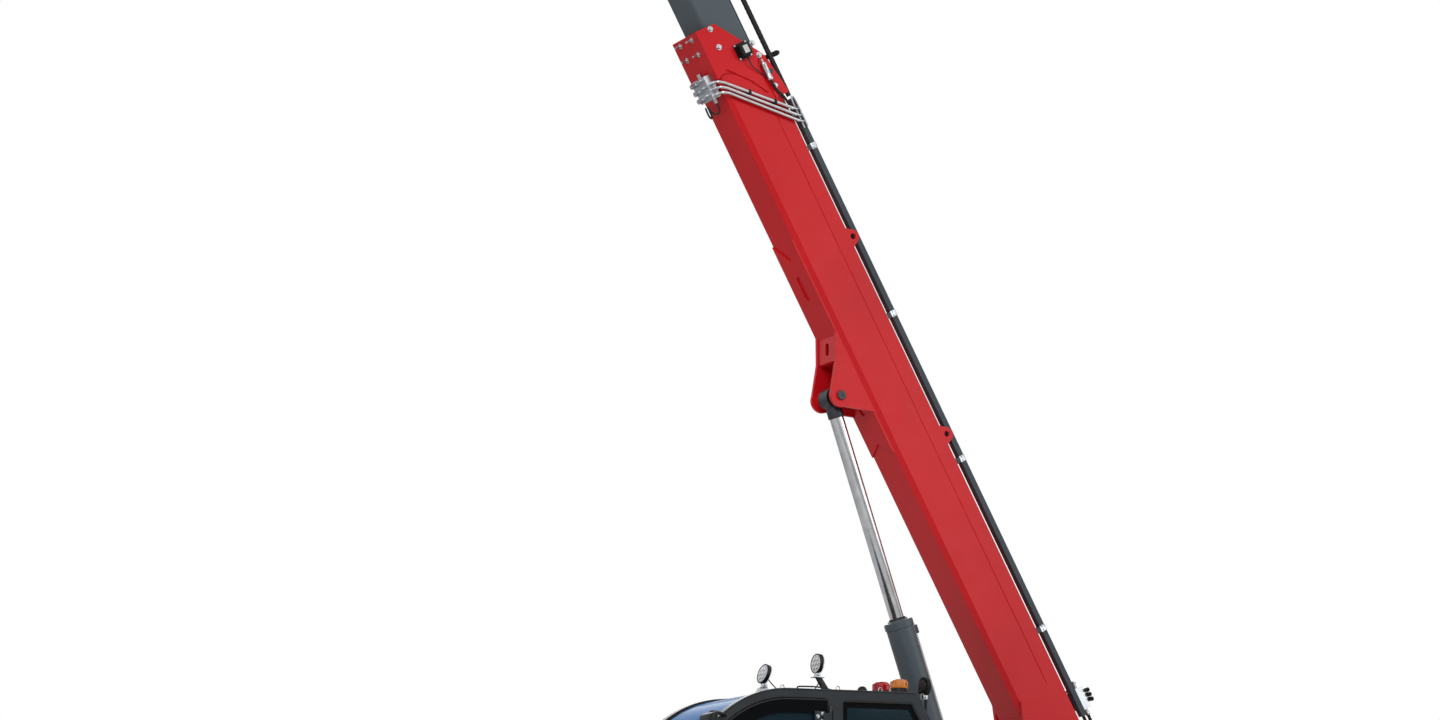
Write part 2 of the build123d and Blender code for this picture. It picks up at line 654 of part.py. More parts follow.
def engine_bay():
    """The open tub of the engine housing, with its grille bars in the rear wall."""
    outer = block(BAY_REAR, BAY_FRONT, BAY_OUTER_Y, BAY_INNER_Y, TURRET_FLOOR, BAY_TOP)
    inner = block(BAY_REAR + BAY_WALL, BAY_FRONT - BAY_WALL, BAY_OUTER_Y + BAY_WALL,
                  BAY_INNER_Y - BAY_WALL, TURRET_FLOOR + BAY_WALL, BAY_TOP + 1)
    skirt = block(BAY_REAR + BAY_WALL, BAY_FRONT - BAY_WALL, BAY_OUTER_Y - 1,
                  BAY_OUTER_Y + BAY_WALL + 1, BAY_TOP - LID_SKIRT, BAY_TOP + 1)
    return outer - inner - skirt


def engine_block():
    """The engine as one plain mass, on its bearers."""
    length, width, height = ENGINE_SIZE
    x = (BAY_REAR + BAY_FRONT) / 2 - 250
    y = (BAY_INNER_Y + BAY_OUTER_Y) / 2
    z = TURRET_FLOOR + BAY_WALL
    return block(x - length / 2, x + length / 2, y - width / 2, y + width / 2, z, z + height)


def engine_lid():
    """The bonnet's top and outer side in one pressing, hinged along its inner edge."""
    x0, x1 = BAY_REAR, BAY_FRONT
    z0 = BAY_TOP + FIT
    top = block(x0, x1, BAY_OUTER_Y, BAY_INNER_Y - 40, z0, z0 + LID_THICKNESS)
    skirt = block(x0 + BAY_WALL + MOVE_GAP, x1 - BAY_WALL - MOVE_GAP, BAY_OUTER_Y,
                  BAY_OUTER_Y + LID_THICKNESS, BAY_TOP - LID_SKIRT + MOVE_GAP, z0 + 1)
    lid = top + skirt
    pitch = (x1 - x0 - 2 * LOUVRE_MARGIN) / LOUVRE_COUNT
    for slot in range(LOUVRE_COUNT):
        x = x0 + LOUVRE_MARGIN + pitch * slot
        lid -= block(x, x + pitch * 0.5, BAY_OUTER_Y - 1, BAY_OUTER_Y + LID_THICKNESS + 1,
                     BAY_TOP - LID_SKIRT + 90, BAY_TOP - 130)
    for x in (x0 + 500, x1 - 500):
        lid += rod_x(LID_HINGE_RADIUS, x - 60, x + 60, BAY_INNER_Y - 40,
                     z0 + LID_HINGE_RADIUS)
    return lid


def hydraulic_tank():
    """The tank and battery housing behind the cab, with a filler cap on its top."""
    body = block(TANK_REAR, TANK_FRONT, CAB_RIGHT, TURRET_HALF_WIDTH, TURRET_FLOOR, TANK_TOP)
    body = fillet(body.edges().filter_by(Axis.X).group_by(Axis.Z)[-1], 60)
    body += rod_z(60, TANK_REAR + 400, (CAB_RIGHT + TURRET_HALF_WIDTH) / 2, TANK_TOP - 10,
                  TANK_TOP + 45)
    return body


# ---- Cab --------------------------------------------------------------------------------
def cab_profile():
    """The cab's side outline: upright rear, slanted shoulder, roof arcing into the front."""
    floor = (CAB_REAR, TURRET_FLOOR)
    brow = (CAB_REAR + 1145, CAB_ROOF_FRONT)
    chin = (CAB_REAR + 1930, CAB_ROOF_FRONT - 623)
    outline = Polyline(floor, (CAB_REAR, CAB_ROOF_REAR - CAB_SHOULDER_DROP),
                       (CAB_REAR + CAB_SHOULDER_RUN, CAB_ROOF_REAR), brow)
    outline += ThreePointArc(brow, (CAB_REAR + 1589, CAB_ROOF_FRONT - 144), chin)
    outline += Polyline(chin, (CAB_REAR + 1935, TURRET_FLOOR + 700),
                        (CAB_REAR + 1855, TURRET_FLOOR + 160),
                        (CAB_REAR + 1795, TURRET_FLOOR), floor)
    return Plane.XZ * make_face(outline)


def cab_inner(inset):
    """The side outline drawn in by an inset on all sides."""
    return offset(cab_profile(), -inset, kind=Kind.INTERSECTION)


def cab_slice(inset):
    """The cab's outline drawn in by an inset on all sides, as a solid."""
    outline = cab_inner(inset) if inset else cab_profile()
    return across(outline, CAB_RIGHT + inset, CAB_LEFT - inset)


def door_leaf(inset, y0, y1):
    """The door's opening in the cab's left side, drawn in by an inset, from y0 to y1."""
    leaf = across(cab_inner(CAB_PILLAR + inset), y0, y1)
    leaf &= block(DOOR_REAR + inset, CAB_REAR + 2000, y0, y1, DOOR_SILL + inset,
                  CAB_ROOF_REAR)
    rear = leaf.edges().filter_by(Axis.Y).group_by(Axis.X)[0]
    return fillet(rear, DOOR_CORNER)


def side_window(front, y0, y1, inset):
    """A window's prism in a side wall, from the rear pillar to its front edge."""
    pane = across(cab_inner(WINDOW_RAIL + inset), y0, y1)
    pane &= block(CAB_REAR, front - inset, y0, y1, TURRET_FLOOR + 620 + inset, CAB_ROOF_REAR)
    return fillet(pane.edges().filter_by(Axis.Y), WINDOW_CORNER - 15)


def window_cutters(inset):
    """Prisms through the cab's walls where the panes sit, drawn in by an inset."""
    i = inset
    windscreen = block(CAB_REAR + 1150 + i, CAB_REAR + 2000, CAB_RIGHT + 60 + i,
                       CAB_LEFT - 60 - i, TURRET_FLOOR + 330 + i, CAB_ROOF_REAR + 60)
    low_corners = windscreen.edges().filter_by(Axis.X).group_by(Axis.Z)[0]
    roof_corners = windscreen.edges().filter_by(Axis.Z).group_by(Axis.X)[0]
    windscreen = fillet(low_corners + roof_corners, WINDOW_CORNER)
    rear = block(CAB_REAR - 10, CAB_REAR + CAB_WALL + 20, CAB_RIGHT + 90 + i,
                 CAB_LEFT - 90 - i, TURRET_FLOOR + 700 + i,
                 CAB_ROOF_REAR - CAB_SHOULDER_DROP - 70 - i)
    rear = fillet(rear.edges().filter_by(Axis.X), WINDOW_CORNER)
    right = side_window(CAB_REAR + 1480, CAB_RIGHT - 10, CAB_RIGHT + CAB_WALL + 20, i)
    quarter = side_window(DOOR_REAR - 100, CAB_LEFT - CAB_WALL - 20, CAB_LEFT + 10, i)
    return [windscreen, rear, right, quarter]


def cab_shell():
    """The hollow cab with its window openings and the door opening on the left."""
    shell = cab_slice(0) - cab_slice(CAB_WALL)
    for cutter in window_cutters(0):
        shell -= cutter
    shell -= door_leaf(0, CAB_LEFT - CAB_WALL - 10, CAB_LEFT + 1)
    # The door's two hinge brackets on the pillar behind it.
    for z in DOOR_HINGES:
        shell += block(DOOR_REAR - 70, DOOR_REAR - 16, CAB_LEFT - 4, CAB_LEFT + 26,
                       z - 45, z + 45)
    return shell


def cab_glazing():
    """One pane in each window opening, set in from the cab's outer face."""
    glass = cab_slice(GLASS_INSET) - cab_slice(GLASS_INSET + GLASS_THICKNESS)
    return [glass & cutter for cutter in window_cutters(FIT)]


def cab_interior():
    """The seat on its base, the arm consoles and the steering column."""
    y = (CAB_LEFT + CAB_RIGHT) / 2
    z = TURRET_FLOOR + CAB_WALL
    x = CAB_REAR + 620
    seat = block(x - 210, x + 210, y - 190, y + 190, z, z + 330)
    seat += block(x - 250, x + 270, y - 260, y + 260, z + 330, z + 450)
    back = side_plate([(x - 250, z + 440), (x - 130, z + 440), (x - 230, z + 1080),
                       (x - 330, z + 1080)], y - 230, y + 230)
    seat += back
    for side in (1, -1):
        y0, y1 = sorted((y + side * 275, y + side * 370))
        seat += block(x - 150, x + 330, y0, y1, z + 480, z + 600)
        seat += block(x - 60, x + 60, *sorted((y + side * 240, y + side * 300)), z + 400,
                      z + 520)
    return seat


def steering_column():
    """The column and its wheel, ahead of the seat."""
    y = (CAB_LEFT + CAB_RIGHT) / 2
    z = TURRET_FLOOR + CAB_WALL
    x = CAB_REAR + 1330
    column = side_plate([(x + 60, z), (x + 200, z), (x - 60, z + 720), (x - 140, z + 690)],
                        y - 55, y + 55)
    wheel = Torus(185, 16) + Cylinder(40, 30)
    for turn in (90, 210, 330):
        wheel += Rot(0, 0, turn) * Pos(95, 0, 0) * Box(180, 26, 12)
    column += Pos(x - 105, y, z + 716) * Rot(0, -22, 0) * wheel
    return column


def cab_door():
    """The door's frame, with its window opening, hinge barrels and handle."""
    y1 = CAB_LEFT
    frame = door_leaf(MOVE_GAP, y1 - DOOR_THICKNESS, y1)
    frame -= door_leaf(MOVE_GAP + DOOR_FRAME, y1 - DOOR_THICKNESS - 1, y1 + 1)
    for z in DOOR_HINGES:
        frame += block(DOOR_REAR, DOOR_REAR + 60, y1 - 10, y1 + 22, z - 30, z + 30)
        frame += rod_z(DOOR_HINGE_RADIUS, DOOR_REAR, y1 + 14, z - 30, z + 30)
    handle_x = CAB_REAR + 1800
    frame += block(handle_x - 30, handle_x + 30, y1 - 5, y1 + 30, DOOR_SILL + 400,
                   DOOR_SILL + 520)
    return frame


def door_glass():
    """The door's one pane."""
    y1 = CAB_LEFT - GLASS_INSET
    return door_leaf(MOVE_GAP + DOOR_FRAME + FIT, y1 - GLASS_THICKNESS, y1)


def work_lamp(x, y, z, tilt, radius):
    """A round lamp facing forward and up by a tilt: housing, back and its bolt block."""
    lamp = Cylinder(radius, LAMP_DEPTH)
    lamp += Pos(0, 0, -LAMP_DEPTH / 2 - 6) * Cylinder(radius * 0.7, 14)
    return Pos(x, y, z) * Rot(0, 90 - tilt, 0) * lamp


def roof_lamps():
    """The work lamps: one low over the roof, one on a slanted arm, one facing back."""
    y = CAB_LEFT - 460
    low_x, low_z = CAB_REAR + 1074, CAB_ROOF_FRONT + 140
    low = work_lamp(low_x, y, low_z, 16, LAMP_RADIUS)
    low += block(low_x - 12, low_x + 28, y - 24, y + 24, CAB_ROOF_FRONT - 8,
                 low_z - LAMP_RADIUS + 14)
    high_x, high_z = CAB_REAR + 646, CAB_ROOF_FRONT + 241
    foot_x = high_x - 105
    high = work_lamp(high_x, y, high_z, 4, LAMP_RADIUS)
    high += side_plate([
        (foot_x - 26, CAB_ROOF_FRONT + 4), (foot_x + 26, CAB_ROOF_FRONT + 4),
        (high_x + 14, high_z - LAMP_RADIUS + 14), (high_x - 26, high_z - LAMP_RADIUS + 14),
    ], y - 14, y + 14)
    rear_x, rear_z = CAB_REAR + 24, CAB_ROOF_REAR + 53
    rear_y = CAB_LEFT - 60
    rear = work_lamp(rear_x, rear_y, rear_z, 180, LAMP_RADIUS - 5)
    rear += block(rear_x - 4, rear_x + 12, rear_y - 20, rear_y + 20, rear_z - 155,
                  rear_z - 40)
    rear += block(rear_x - 4, rear_x + 90, rear_y - 20, rear_y + 20, rear_z - 155,
                  rear_z - 139)
    return [lamp - cab_slice(0) for lamp in (low, high, rear)]


def beacons():
    """The amber and the red beacon, side by side at the rear of the roof."""
    pieces = []
    for run, y in BEACON_TABLE:
        x = CAB_REAR + run
        base = rod_z(BEACON_RADIUS, x, y, CAB_ROOF_REAR - 20, CAB_ROOF_REAR + 40)
        lens = rod_z(BEACON_RADIUS - 3, x, y, CAB_ROOF_REAR + 38, CAB_ROOF_REAR + 106)
        lens = fillet(lens.edges().group_by(Axis.Z)[-1], 14)
        pieces.append(base + lens - cab_slice(0))
    return pieces


def mirrors():
    """A mirror on an arm ahead of the cab and one on the engine housing."""
    pieces = []
    left_x = CAB_REAR + 1870
    high = CAB_ROOF_REAR - 252
    arm = pipe_run([(CAB_REAR + 1630, CAB_LEFT - 30, high + 12),
                    (CAB_REAR + 1700, CAB_LEFT + 90, high + 40),
                    (left_x + 25, CAB_LEFT + 190, high + 40),
                    (left_x + 25, CAB_LEFT + 190, high - 40)], 12, 30)
    arm -= cab_slice(0)
    head = block(left_x, left_x + 55, CAB_LEFT + 100, CAB_LEFT + 290, high - 360, high)
    pieces.append(arm + head)
    right_x = BAY_FRONT - BAY_WALL
    reach = CAB_LEFT + 290
    arm = rod_y(12, right_x + 15, -reach + 60, BAY_OUTER_Y, BAY_TOP - 60)
    head = block(right_x, right_x + 60, -reach, -reach + 190, BAY_TOP - 120, BAY_TOP + 240)
    pieces.append(arm + head)
    return pieces


# ---- Lift cylinder ----------------------------------------------------------------------
def lift_barrel():
    """The barrel, hollow for the rod, with its foot eye and gland."""
    bore = BARREL_RADIUS - BARREL_WALL
    barrel = rod_x(BARREL_RADIUS, 130, BARREL_LENGTH, 0, 0)
    barrel -= rod_x(bore, 220, BARREL_LENGTH - 70, 0, 0)
    barrel -= rod_x(ROD_RADIUS + FIT, BARREL_LENGTH - 80, BARREL_LENGTH + 1, 0, 0)
    barrel += rod_y(BARREL_EYE_RADIUS, 0, -BARREL_EYE_HALF, BARREL_EYE_HALF, 0)
    barrel += block(0, 150, -BARREL_EYE_HALF + 10, BARREL_EYE_HALF - 10, -80, 80)
    barrel -= rod_y(LIFT_PIN_RADIUS + FIT, 0, -BARREL_EYE_HALF - 20, BARREL_EYE_HALF + 20, 0)
    return LIFT_PLACE * barrel


def lift_rod():
    """The plated rod, from inside the barrel to its eye at the boom's lugs."""
    rod = rod_x(ROD_RADIUS, BARREL_LENGTH - ROD_INSIDE, LIFT_LENGTH - 20, 0, 0)
    rod += rod_y(ROD_EYE_RADIUS, LIFT_LENGTH, -ROD_EYE_HALF, ROD_EYE_HALF, 0)
    rod -= rod_y(LIFT_PIN_RADIUS + 1, LIFT_LENGTH, -ROD_EYE_HALF - 20, ROD_EYE_HALF + 20, 0)
    return LIFT_PLACE * rod


# ---- Boom -------------------------------------------------------------------------------
def boom_base():
    """The base tube with its pivot cheeks, doubler, lift lugs and slanted front collar."""
    low, top = BOOM_UNDERSIDE, BOOM_UNDERSIDE + BASE_HEIGHT
    half = BASE_WIDTH / 2
    wall = BASE_WALL
    section = [
        (-half, top), (half, top), (half, low + CORNER_UP), (half - CORNER_ACROSS, low),
        (CORNER_ACROSS - half, low), (-half, low + CORNER_UP),
    ]
    tube = end_plate(section, -BASE_TAIL, BASE_FRONT)
    cheek = [
        (-BASE_TAIL, top - 60), (-BASE_TAIL, 120), (-130, -60), (130, -60), (540, low + 30),
        (380, top - 60),
    ]
    for side in (1, -1):
        y0, y1 = sorted((side * (half - 2), side * (half + 25)))
        tube += side_plate(cheek, y0, y1) + rod_y(135, 0, y0, y1, 0)
    tube += rod_y(95, 0, -half, half, 0) - block(-200, 200, -half, half, low, low + 200)
    # The collar plates step back over each side face, and a strap ties them at the top.
    collar = [
        (BASE_FRONT - 384, low - COLLAR_PLATE), (BASE_FRONT, low - COLLAR_PLATE),
        (BASE_FRONT, low + 165), (BASE_FRONT - BASE_BEVEL, top - 12),
        (BASE_FRONT - 377, top - 78), (BASE_FRONT - 625, top - 106),
        (BASE_FRONT - 502, low + 262), (BASE_FRONT - 343, low + 97),
    ]
    tube += side_plate(collar, -half - COLLAR_PLATE, half + COLLAR_PLATE)
    strap_front = BASE_FRONT - BASE_BEVEL - 20
    tube += block(strap_front - 130, strap_front, -half, half, top - 1, top + COLLAR_PLATE)
    guard = [
        (BASE_FRONT - 398, top + 15), (BASE_FRONT - 683, top + 66),
        (BASE_FRONT - 687, top - 62), (BASE_FRONT - 452, top - 76),
    ]
    tube += side_plate(guard, half - 1, half + 8)
    for eye_t in EYE_TABLE:
        eye = [
            (eye_t + 82, top - 10), (eye_t + 30, top + 70), (eye_t - 12, top + 86),
            (eye_t - 48, top + 70), (eye_t - 82, top - 10),
        ]
        for side in (1, -1):
            y0, y1 = sorted((side * (half - 16), side * half))
            tube += side_plate(eye, y0, y1) - rod_y(23, eye_t - 6, y0 - 1, y1 + 1, top + 32)
    # The doubler stiffens the underside on both sides of the lugs.
    plate = top_plate(
        [(DOUBLER_START, -half + 22), (DOUBLER_START + 90, 0), (DOUBLER_START, half - 22),
         (DOUBLER_END, half - 22), (DOUBLER_END - 150, 0), (DOUBLER_END, 22 - half)],
        low - COLLAR_PLATE, low + 1,
    )
    for slot_x in (DOUBLER_END - 370, DOUBLER_START + 420):
        slot = Pos(slot_x, 0, low - COLLAR_PLATE - 1) * extrude(
            SlotOverall(190, 60), COLLAR_PLATE + 1
        )
        plate -= slot
    tube += plate
    lug = [
        (LUG_T + 454, low + 1), (LUG_T + 254, low - 112), (LUG_T + 60, -LUG_DROP - 62),
        (LUG_T - 86, -LUG_DROP - 10), (LUG_T - 230, low + 1),
    ]
    for side in (1, -1):
        y0, y1 = sorted((side * LUG_INNER_Y, side * (LUG_INNER_Y - LUG_THICKNESS)))
        plate = side_plate(lug, y0, y1) + rod_y(LUG_RADIUS, LUG_T, y0, y1, -LUG_DROP)
        stub = sorted((side * (ROD_EYE_HALF + MOVE_GAP), side * (LUG_INNER_Y + 10)))
        plate += rod_y(LIFT_PIN_RADIUS, LUG_T, *stub, -LUG_DROP)
        boss = sorted((side * (LUG_INNER_Y - LUG_THICKNESS - 30), y1 if side < 0 else y0))
        plate += rod_y(LIFT_PIN_RADIUS + 24, LUG_T, *boss, -LUG_DROP)
        tube += plate
    tie = side_plate(
        [(LUG_T + 400, low + 1), (LUG_T + 430, low + 1), (LUG_T + 245, low - 105),
         (LUG_T + 225, low - 95)],
        -LUG_INNER_Y + 10, LUG_INNER_Y - 10,
    )
    slope = math.atan2(106, 185)
    slot_plane = Plane(
        (LUG_T + 330, 0, low - 50), x_dir=(math.cos(slope), 0, math.sin(slope)),
        z_dir=(-math.sin(slope), 0, math.cos(slope)),
    )
    tube += tie - extrude(slot_plane * SlotOverall(96, 46), 40, both=True)
    # The inside, the slanted mouth and the pivot bore.
    hollow = [
        (-half + wall, top - wall), (half - wall, top - wall),
        (half - wall, low + CORNER_UP + 4), (half - CORNER_ACROSS - 4, low + wall),
        (CORNER_ACROSS + 4 - half, low + wall), (wall - half, low + CORNER_UP + 4),
    ]
    tube -= end_plate(hollow, -BASE_TAIL + wall, BASE_FRONT + 100)
    tube -= side_plate(
        [(BASE_FRONT, low + 165), (BASE_FRONT - BASE_BEVEL, top - 12),
         (BASE_FRONT - BASE_BEVEL - 20, top + 40), (BASE_FRONT + 50, top + 40),
         (BASE_FRONT + 50, low + 165)],
        -half - 30, half + 30,
    )
    tube -= rod_y(BOOM_PIN_RADIUS + FIT, 0, -half - 40, half + 40, 0)
    tube += wear_pads(half - wall, low + wall, top - wall, SECTION_TABLE[0], BASE_FRONT,
                      BASE_BEVEL + 20)
    return BOOM_PLACE * tube


def wear_pads(inside_y, inside_low, inside_top, inner, front, bevel):
    """The four pads in the mouth of a section, which the next section slides on."""
    _, inner_width, inner_height, *_ = inner
    pad_w, pad_h = inner_width / 2 + FIT, inner_height / 2 + FIT
    c = BOOM_CENTRE
    pads = []
    x1 = front - bevel - 20
    for side in (1, -1):
        y0, y1 = sorted((side * pad_w, side * (inside_y + 1)))
        pads.append(block(x1 - PAD_LENGTH, x1, y0, y1, c - pad_h * 0.55, c + pad_h * 0.55))
    pads.append(block(x1 - PAD_LENGTH, x1, -pad_w * 0.6, pad_w * 0.6, c + pad_h,
                      inside_top + 1))
    x1 = front - 10
    pads.append(block(x1 - PAD_LENGTH, x1, -pad_w * 0.6, pad_w * 0.6, inside_low - 1,
                      c - pad_h))
    return pads


def section_front(index):
    """Where a telescoping section's front end lies along the boom."""
    return BASE_FRONT + sum(row[5] for row in SECTION_TABLE[: index + 1])


def boom_section(index):
    """One telescoping section, with its collar and pads, or the head on the last."""
    _, width, height, wall, length, _, collar = SECTION_TABLE[index]
    front = section_front(index)
    c = BOOM_CENTRE
    half_w, half_h = width / 2, height / 2
    tube = block(front - length, front, -half_w, half_w, c - half_h, c + half_h)
    tube = chamfer(tube.edges().filter_by(Axis.X), 14)
    if collar:
        band = block(front - collar, front, -half_w - 12, half_w + 12, c - half_h - 12,
                     c + half_h + 12)
        tube += chamfer(band.edges().filter_by(Axis.X), 14)
    hollow = block(front - length + wall, front + 1, wall - half_w, half_w - wall,
                   c - half_h + wall, c + half_h - wall)
    tube -= hollow
    if index + 1 < len(SECTION_TABLE):
        tube += wear_pads(half_w - wall, c - half_h + wall, c + half_h - wall,
                          SECTION_TABLE[index + 1], front, 0)
    else:
        tube += boom_head(front)
    return BOOM_PLACE * tube


def boom_head(front):
    """The cranked head, from the last section's end down to the carriage pin."""
    _, width, height, *_ = SECTION_TABLE[-1]
    c = BOOM_CENTRE
    top, low = c + height / 2, c - height / 2
    outline = [
        (front - 60, low), (front - 60, top), (front + 170, top), (front + 330, top - 120),
        (HEAD_PIN_T + 110, HEAD_PIN_N + 60), (HEAD_PIN_T - 110, HEAD_PIN_N - 60),
        (front + 60, low),
    ]
    half = width / 2
    head = side_plate(outline, -half, half)
    head += rod_y(HEAD_BOSS_RADIUS, HEAD_PIN_T, -half, half, HEAD_PIN_N)
    head += rod_y(HEAD_PIN_RADIUS, HEAD_PIN_T, -half - 50, half + 50, HEAD_PIN_N)
    return head


def boom_tray():
    """The hose tray along the top of the base tube, on four brackets."""
    top = BOOM_UNDERSIDE + BASE_HEIGHT
    z0 = top + TRAY_RISE
    z1 = z0 + TRAY_HEIGHT
    front = BASE_FRONT - TRAY_SETBACK
    w = TRAY_WALL
    tray = block(180, front, TRAY_RIGHT, TRAY_LEFT, z0, z1)
    tray -= block(170, front + 10, TRAY_RIGHT + w, TRAY_LEFT - w, z0 + w, z1 + 1)
    for x in TRAY_BRACKETS:
        tray += block(x - 20, x + 20, TRAY_RIGHT, TRAY_RIGHT + w, top, z0 + 2)
        tray += block(x - 20, x + 20, TRAY_LEFT - w, TRAY_LEFT, top, z0 + 2)
    return BOOM_PLACE * tray


def pipe_run(points, radius, bend):
    """A pipe along straight runs joined by arcs of one bend radius."""
    path = FilletPolyline(*points, radius=bend)
    start, following = Vector(*points[0]), Vector(*points[1])
    return sweep(Plane(start, z_dir=following - start) * Circle(radius), path)


def boom_pipes():
    """Three pipes from the manifold, round the lower corner and up to the tray."""
    low, top = BOOM_UNDERSIDE, BOOM_UNDERSIDE + BASE_HEIGHT
    face = BASE_WIDTH / 2 + COLLAR_PLATE + PIPE_RADIUS + 4
    under = low - COLLAR_PLATE - PIPE_RADIUS - 19
    pipes = []
    for start, bend, end in PIPE_TABLE:
        x0, x1, x2 = BASE_FRONT - start, BASE_FRONT - bend, BASE_FRONT - end
        run = pipe_run(
            [
                (x0, MANIFOLD_LEFT, under), (x0, face, under), (x1, face, low + 14),
                (x2, face, top + 16), (x2 - 25, TRAY_LEFT - 4, top + TRAY_RISE + 34),
            ],
            PIPE_RADIUS, PIPE_BEND,
        )
        run -= block(x2 - 90, x2 + 60, 0, TRAY_LEFT + FIT, top, top + 200)
        pipes.append(BOOM_PLACE * run)
    return pipes


def boom_valves():
    """The manifold under the collar, the small cylinder by the guard, the lower valves."""
    low, top = BOOM_UNDERSIDE - COLLAR_PLATE, BOOM_UNDERSIDE + BASE_HEIGHT
    x1, x0 = BASE_FRONT - MANIFOLD[0], BASE_FRONT - MANIFOLD[1]
    z0 = low - MANIFOLD[2]
    manifold = block(x0, x1, MANIFOLD_RIGHT, MANIFOLD_LEFT, z0, low)
    for step in range(3):
        x = x0 + 30 + step * 60
        manifold += rod_z(19, x, -15, z0 - 46, z0 + 1)
        manifold += rod_z(15, x + 12, 60, z0 - 30, z0 + 1)
    manifold += rod_x(16, x0 - 34, x0 + 1, 70, low - 30)
    manifold += rod_x(16, x1 - 1, x1 + 34, 20, low - 34)
    side = BASE_WIDTH / 2 + 8
    damper = rod_x(18, BASE_FRONT - 545, BASE_FRONT - 415, side + 20, top - 52)
    damper += rod_x(9, BASE_FRONT - 416, BASE_FRONT - 385, side + 20, top - 52)
    damper += block(BASE_FRONT - 538, BASE_FRONT - 512, side, side + 16, top - 64, top - 40)
    damper += block(BASE_FRONT - 462, BASE_FRONT - 436, side, side + 16, top - 64, top - 40)
    deck = top + TRAY_RISE + TRAY_HEIGHT
    valves = block(215, 390, 10, TRAY_LEFT, deck, deck + 70)
    valves += block(235, 370, 14, TRAY_RIGHT - 20, top, deck + 1)
    valves += block(250, 350, 30, TRAY_LEFT - 20, deck + 69, deck + 112)
    for y in (40, 105):
        valves += rod_x(17, 389, 440, y, deck + 38)
        valves += rod_x(17, 165, 216, y, deck + 38)
    return [BOOM_PLACE * manifold, BOOM_PLACE * damper, BOOM_PLACE * valves]


def boom_sensor():
    """The load sensor's box on its base plate, on the left collar plate."""
    y = BASE_WIDTH / 2 + COLLAR_PLATE
    s = SENSOR_SIDE / 2
    plate = block(SENSOR_T - s, SENSOR_T + s, y, y + 8, SENSOR_N - s, SENSOR_N + s)
    box = block(SENSOR_T - s + 14, SENSOR_T + s - 14, y + 7, y + SENSOR_DEPTH,
                SENSOR_N - s + 14, SENSOR_N + s - 14)
    box = chamfer(box.faces().sort_by(Axis.Y)[-1].edges(), 8)
    return BOOM_PLACE * (plate + box)


def boom_lamp():
    """The tube lamp that stands on the base tube's top strap."""
    top = BOOM_UNDERSIDE + BASE_HEIGHT + COLLAR_PLATE
    x, y = BASE_FRONT - BASE_BEVEL - 45, TRAY_RIGHT - 14
    lamp = rod_z(20, x, y, top + 18, top + 186)
    lamp += block(x - 17, x + 17, y - 17, y + 17, top, top + 20)
    return BOOM_PLACE * lamp


def boom_2_lines():
    """The hose carrier and the pipe that slide in and out with the second section."""
    _, _, height, _, _, _, collar = SECTION_TABLE[0]
    front = section_front(0)
    top = BOOM_CENTRE + height / 2
    z0 = BOOM_UNDERSIDE + BASE_HEIGHT + TRAY_RISE + TRAY_WALL + 8
    y0 = TRAY_RIGHT + TRAY_WALL + 5
    rear = BASE_FRONT - TRAY_SETBACK + 20
    carrier = block(rear, front - 40, y0, y0 + CARRIER_WIDTH, z0, z0 + CARRIER_HEIGHT)
    carrier += block(front - 100, front - 60, y0 + 4, y0 + CARRIER_WIDTH - 4, top + 12,
                     z0 + 1)
    pipe = rod_x(LINE_RADIUS, rear, front - collar - 10, TRAY_LEFT - 34,
                 top + LINE_RADIUS + FIT)
    return [BOOM_PLACE * carrier, BOOM_PLACE * pipe]


# ---- Carriage and forks -----------------------------------------------------------------
def carriage():
    """The fork carriage: two bars and two uprights, with lugs that straddle the head."""
    x0 = CARRIAGE_SETBACK
    x1 = x0 + CARRIAGE_BAR
    w = CARRIAGE_HALF_WIDTH
    frame = block(x0, x1, -w, w, CARRIAGE_TOP - 110, CARRIAGE_TOP)
    frame += block(x0, x1, -w, w, CARRIAGE_BOTTOM, CARRIAGE_BOTTOM + 110)
    for y in (-w, -260, 220, w - 40):
        frame += block(x0, x1 - 20, y, y + 40, CARRIAGE_BOTTOM + 60, CARRIAGE_TOP - 60)
    half = SECTION_TABLE[-1][1] / 2 + MOVE_GAP
    for side in (1, -1):
        y0, y1 = sorted((side * half, side * (half + CARRIAGE_PLATE)))
        lug = side_plate(
            [(-70, -60), (60, -100), (x0 + 10, CARRIAGE_BOTTOM + 30),
             (x0 + 10, CARRIAGE_TOP - 30), (60, 100), (-70, 60)], y0, y1)
        lug += rod_y(95, 0, y0, y1, 0)
        lug -= rod_y(HEAD_PIN_RADIUS + FIT, 0, y0 - 1, y1 + 1, 0)
        frame += lug
    for z in (CARRIAGE_BOTTOM, CARRIAGE_TOP - 90):
        frame += block(x0, x0 + 40, -half - CARRIAGE_PLATE, half + CARRIAGE_PLATE, z, z + 90)
    return Pos(HEAD_X, 0, HEAD_Z) * frame


def forks():
    """Two forks that hang on the carriage's top bar."""
    pieces = []
    x0 = CARRIAGE_SETBACK + CARRIAGE_BAR + FIT
    x1 = x0 + FORK_THICKNESS
    z0 = CARRIAGE_BOTTOM - FORK_THICKNESS
    for side in (1, -1):
        y = side * FORK_SPREAD / 2
        y0, y1 = y - FORK_WIDTH / 2, y + FORK_WIDTH / 2
        fork = side_plate(
            [(x0, z0), (x1 + FORK_LENGTH, z0), (x1 + FORK_LENGTH, z0 + 12),
             (x1 + 500, z0 + FORK_THICKNESS), (x1, z0 + FORK_THICKNESS),
             (x1, z0 + FORK_HEIGHT), (x0, z0 + FORK_HEIGHT)], y0, y1)
        hook_z = CARRIAGE_TOP + FIT
        fork += block(x0 - 60, x0 + 10, y0, y1, hook_z, hook_z + 40)
        pieces.append(fork)
    return [Pos(HEAD_X, 0, HEAD_Z) * piece for piece in pieces]


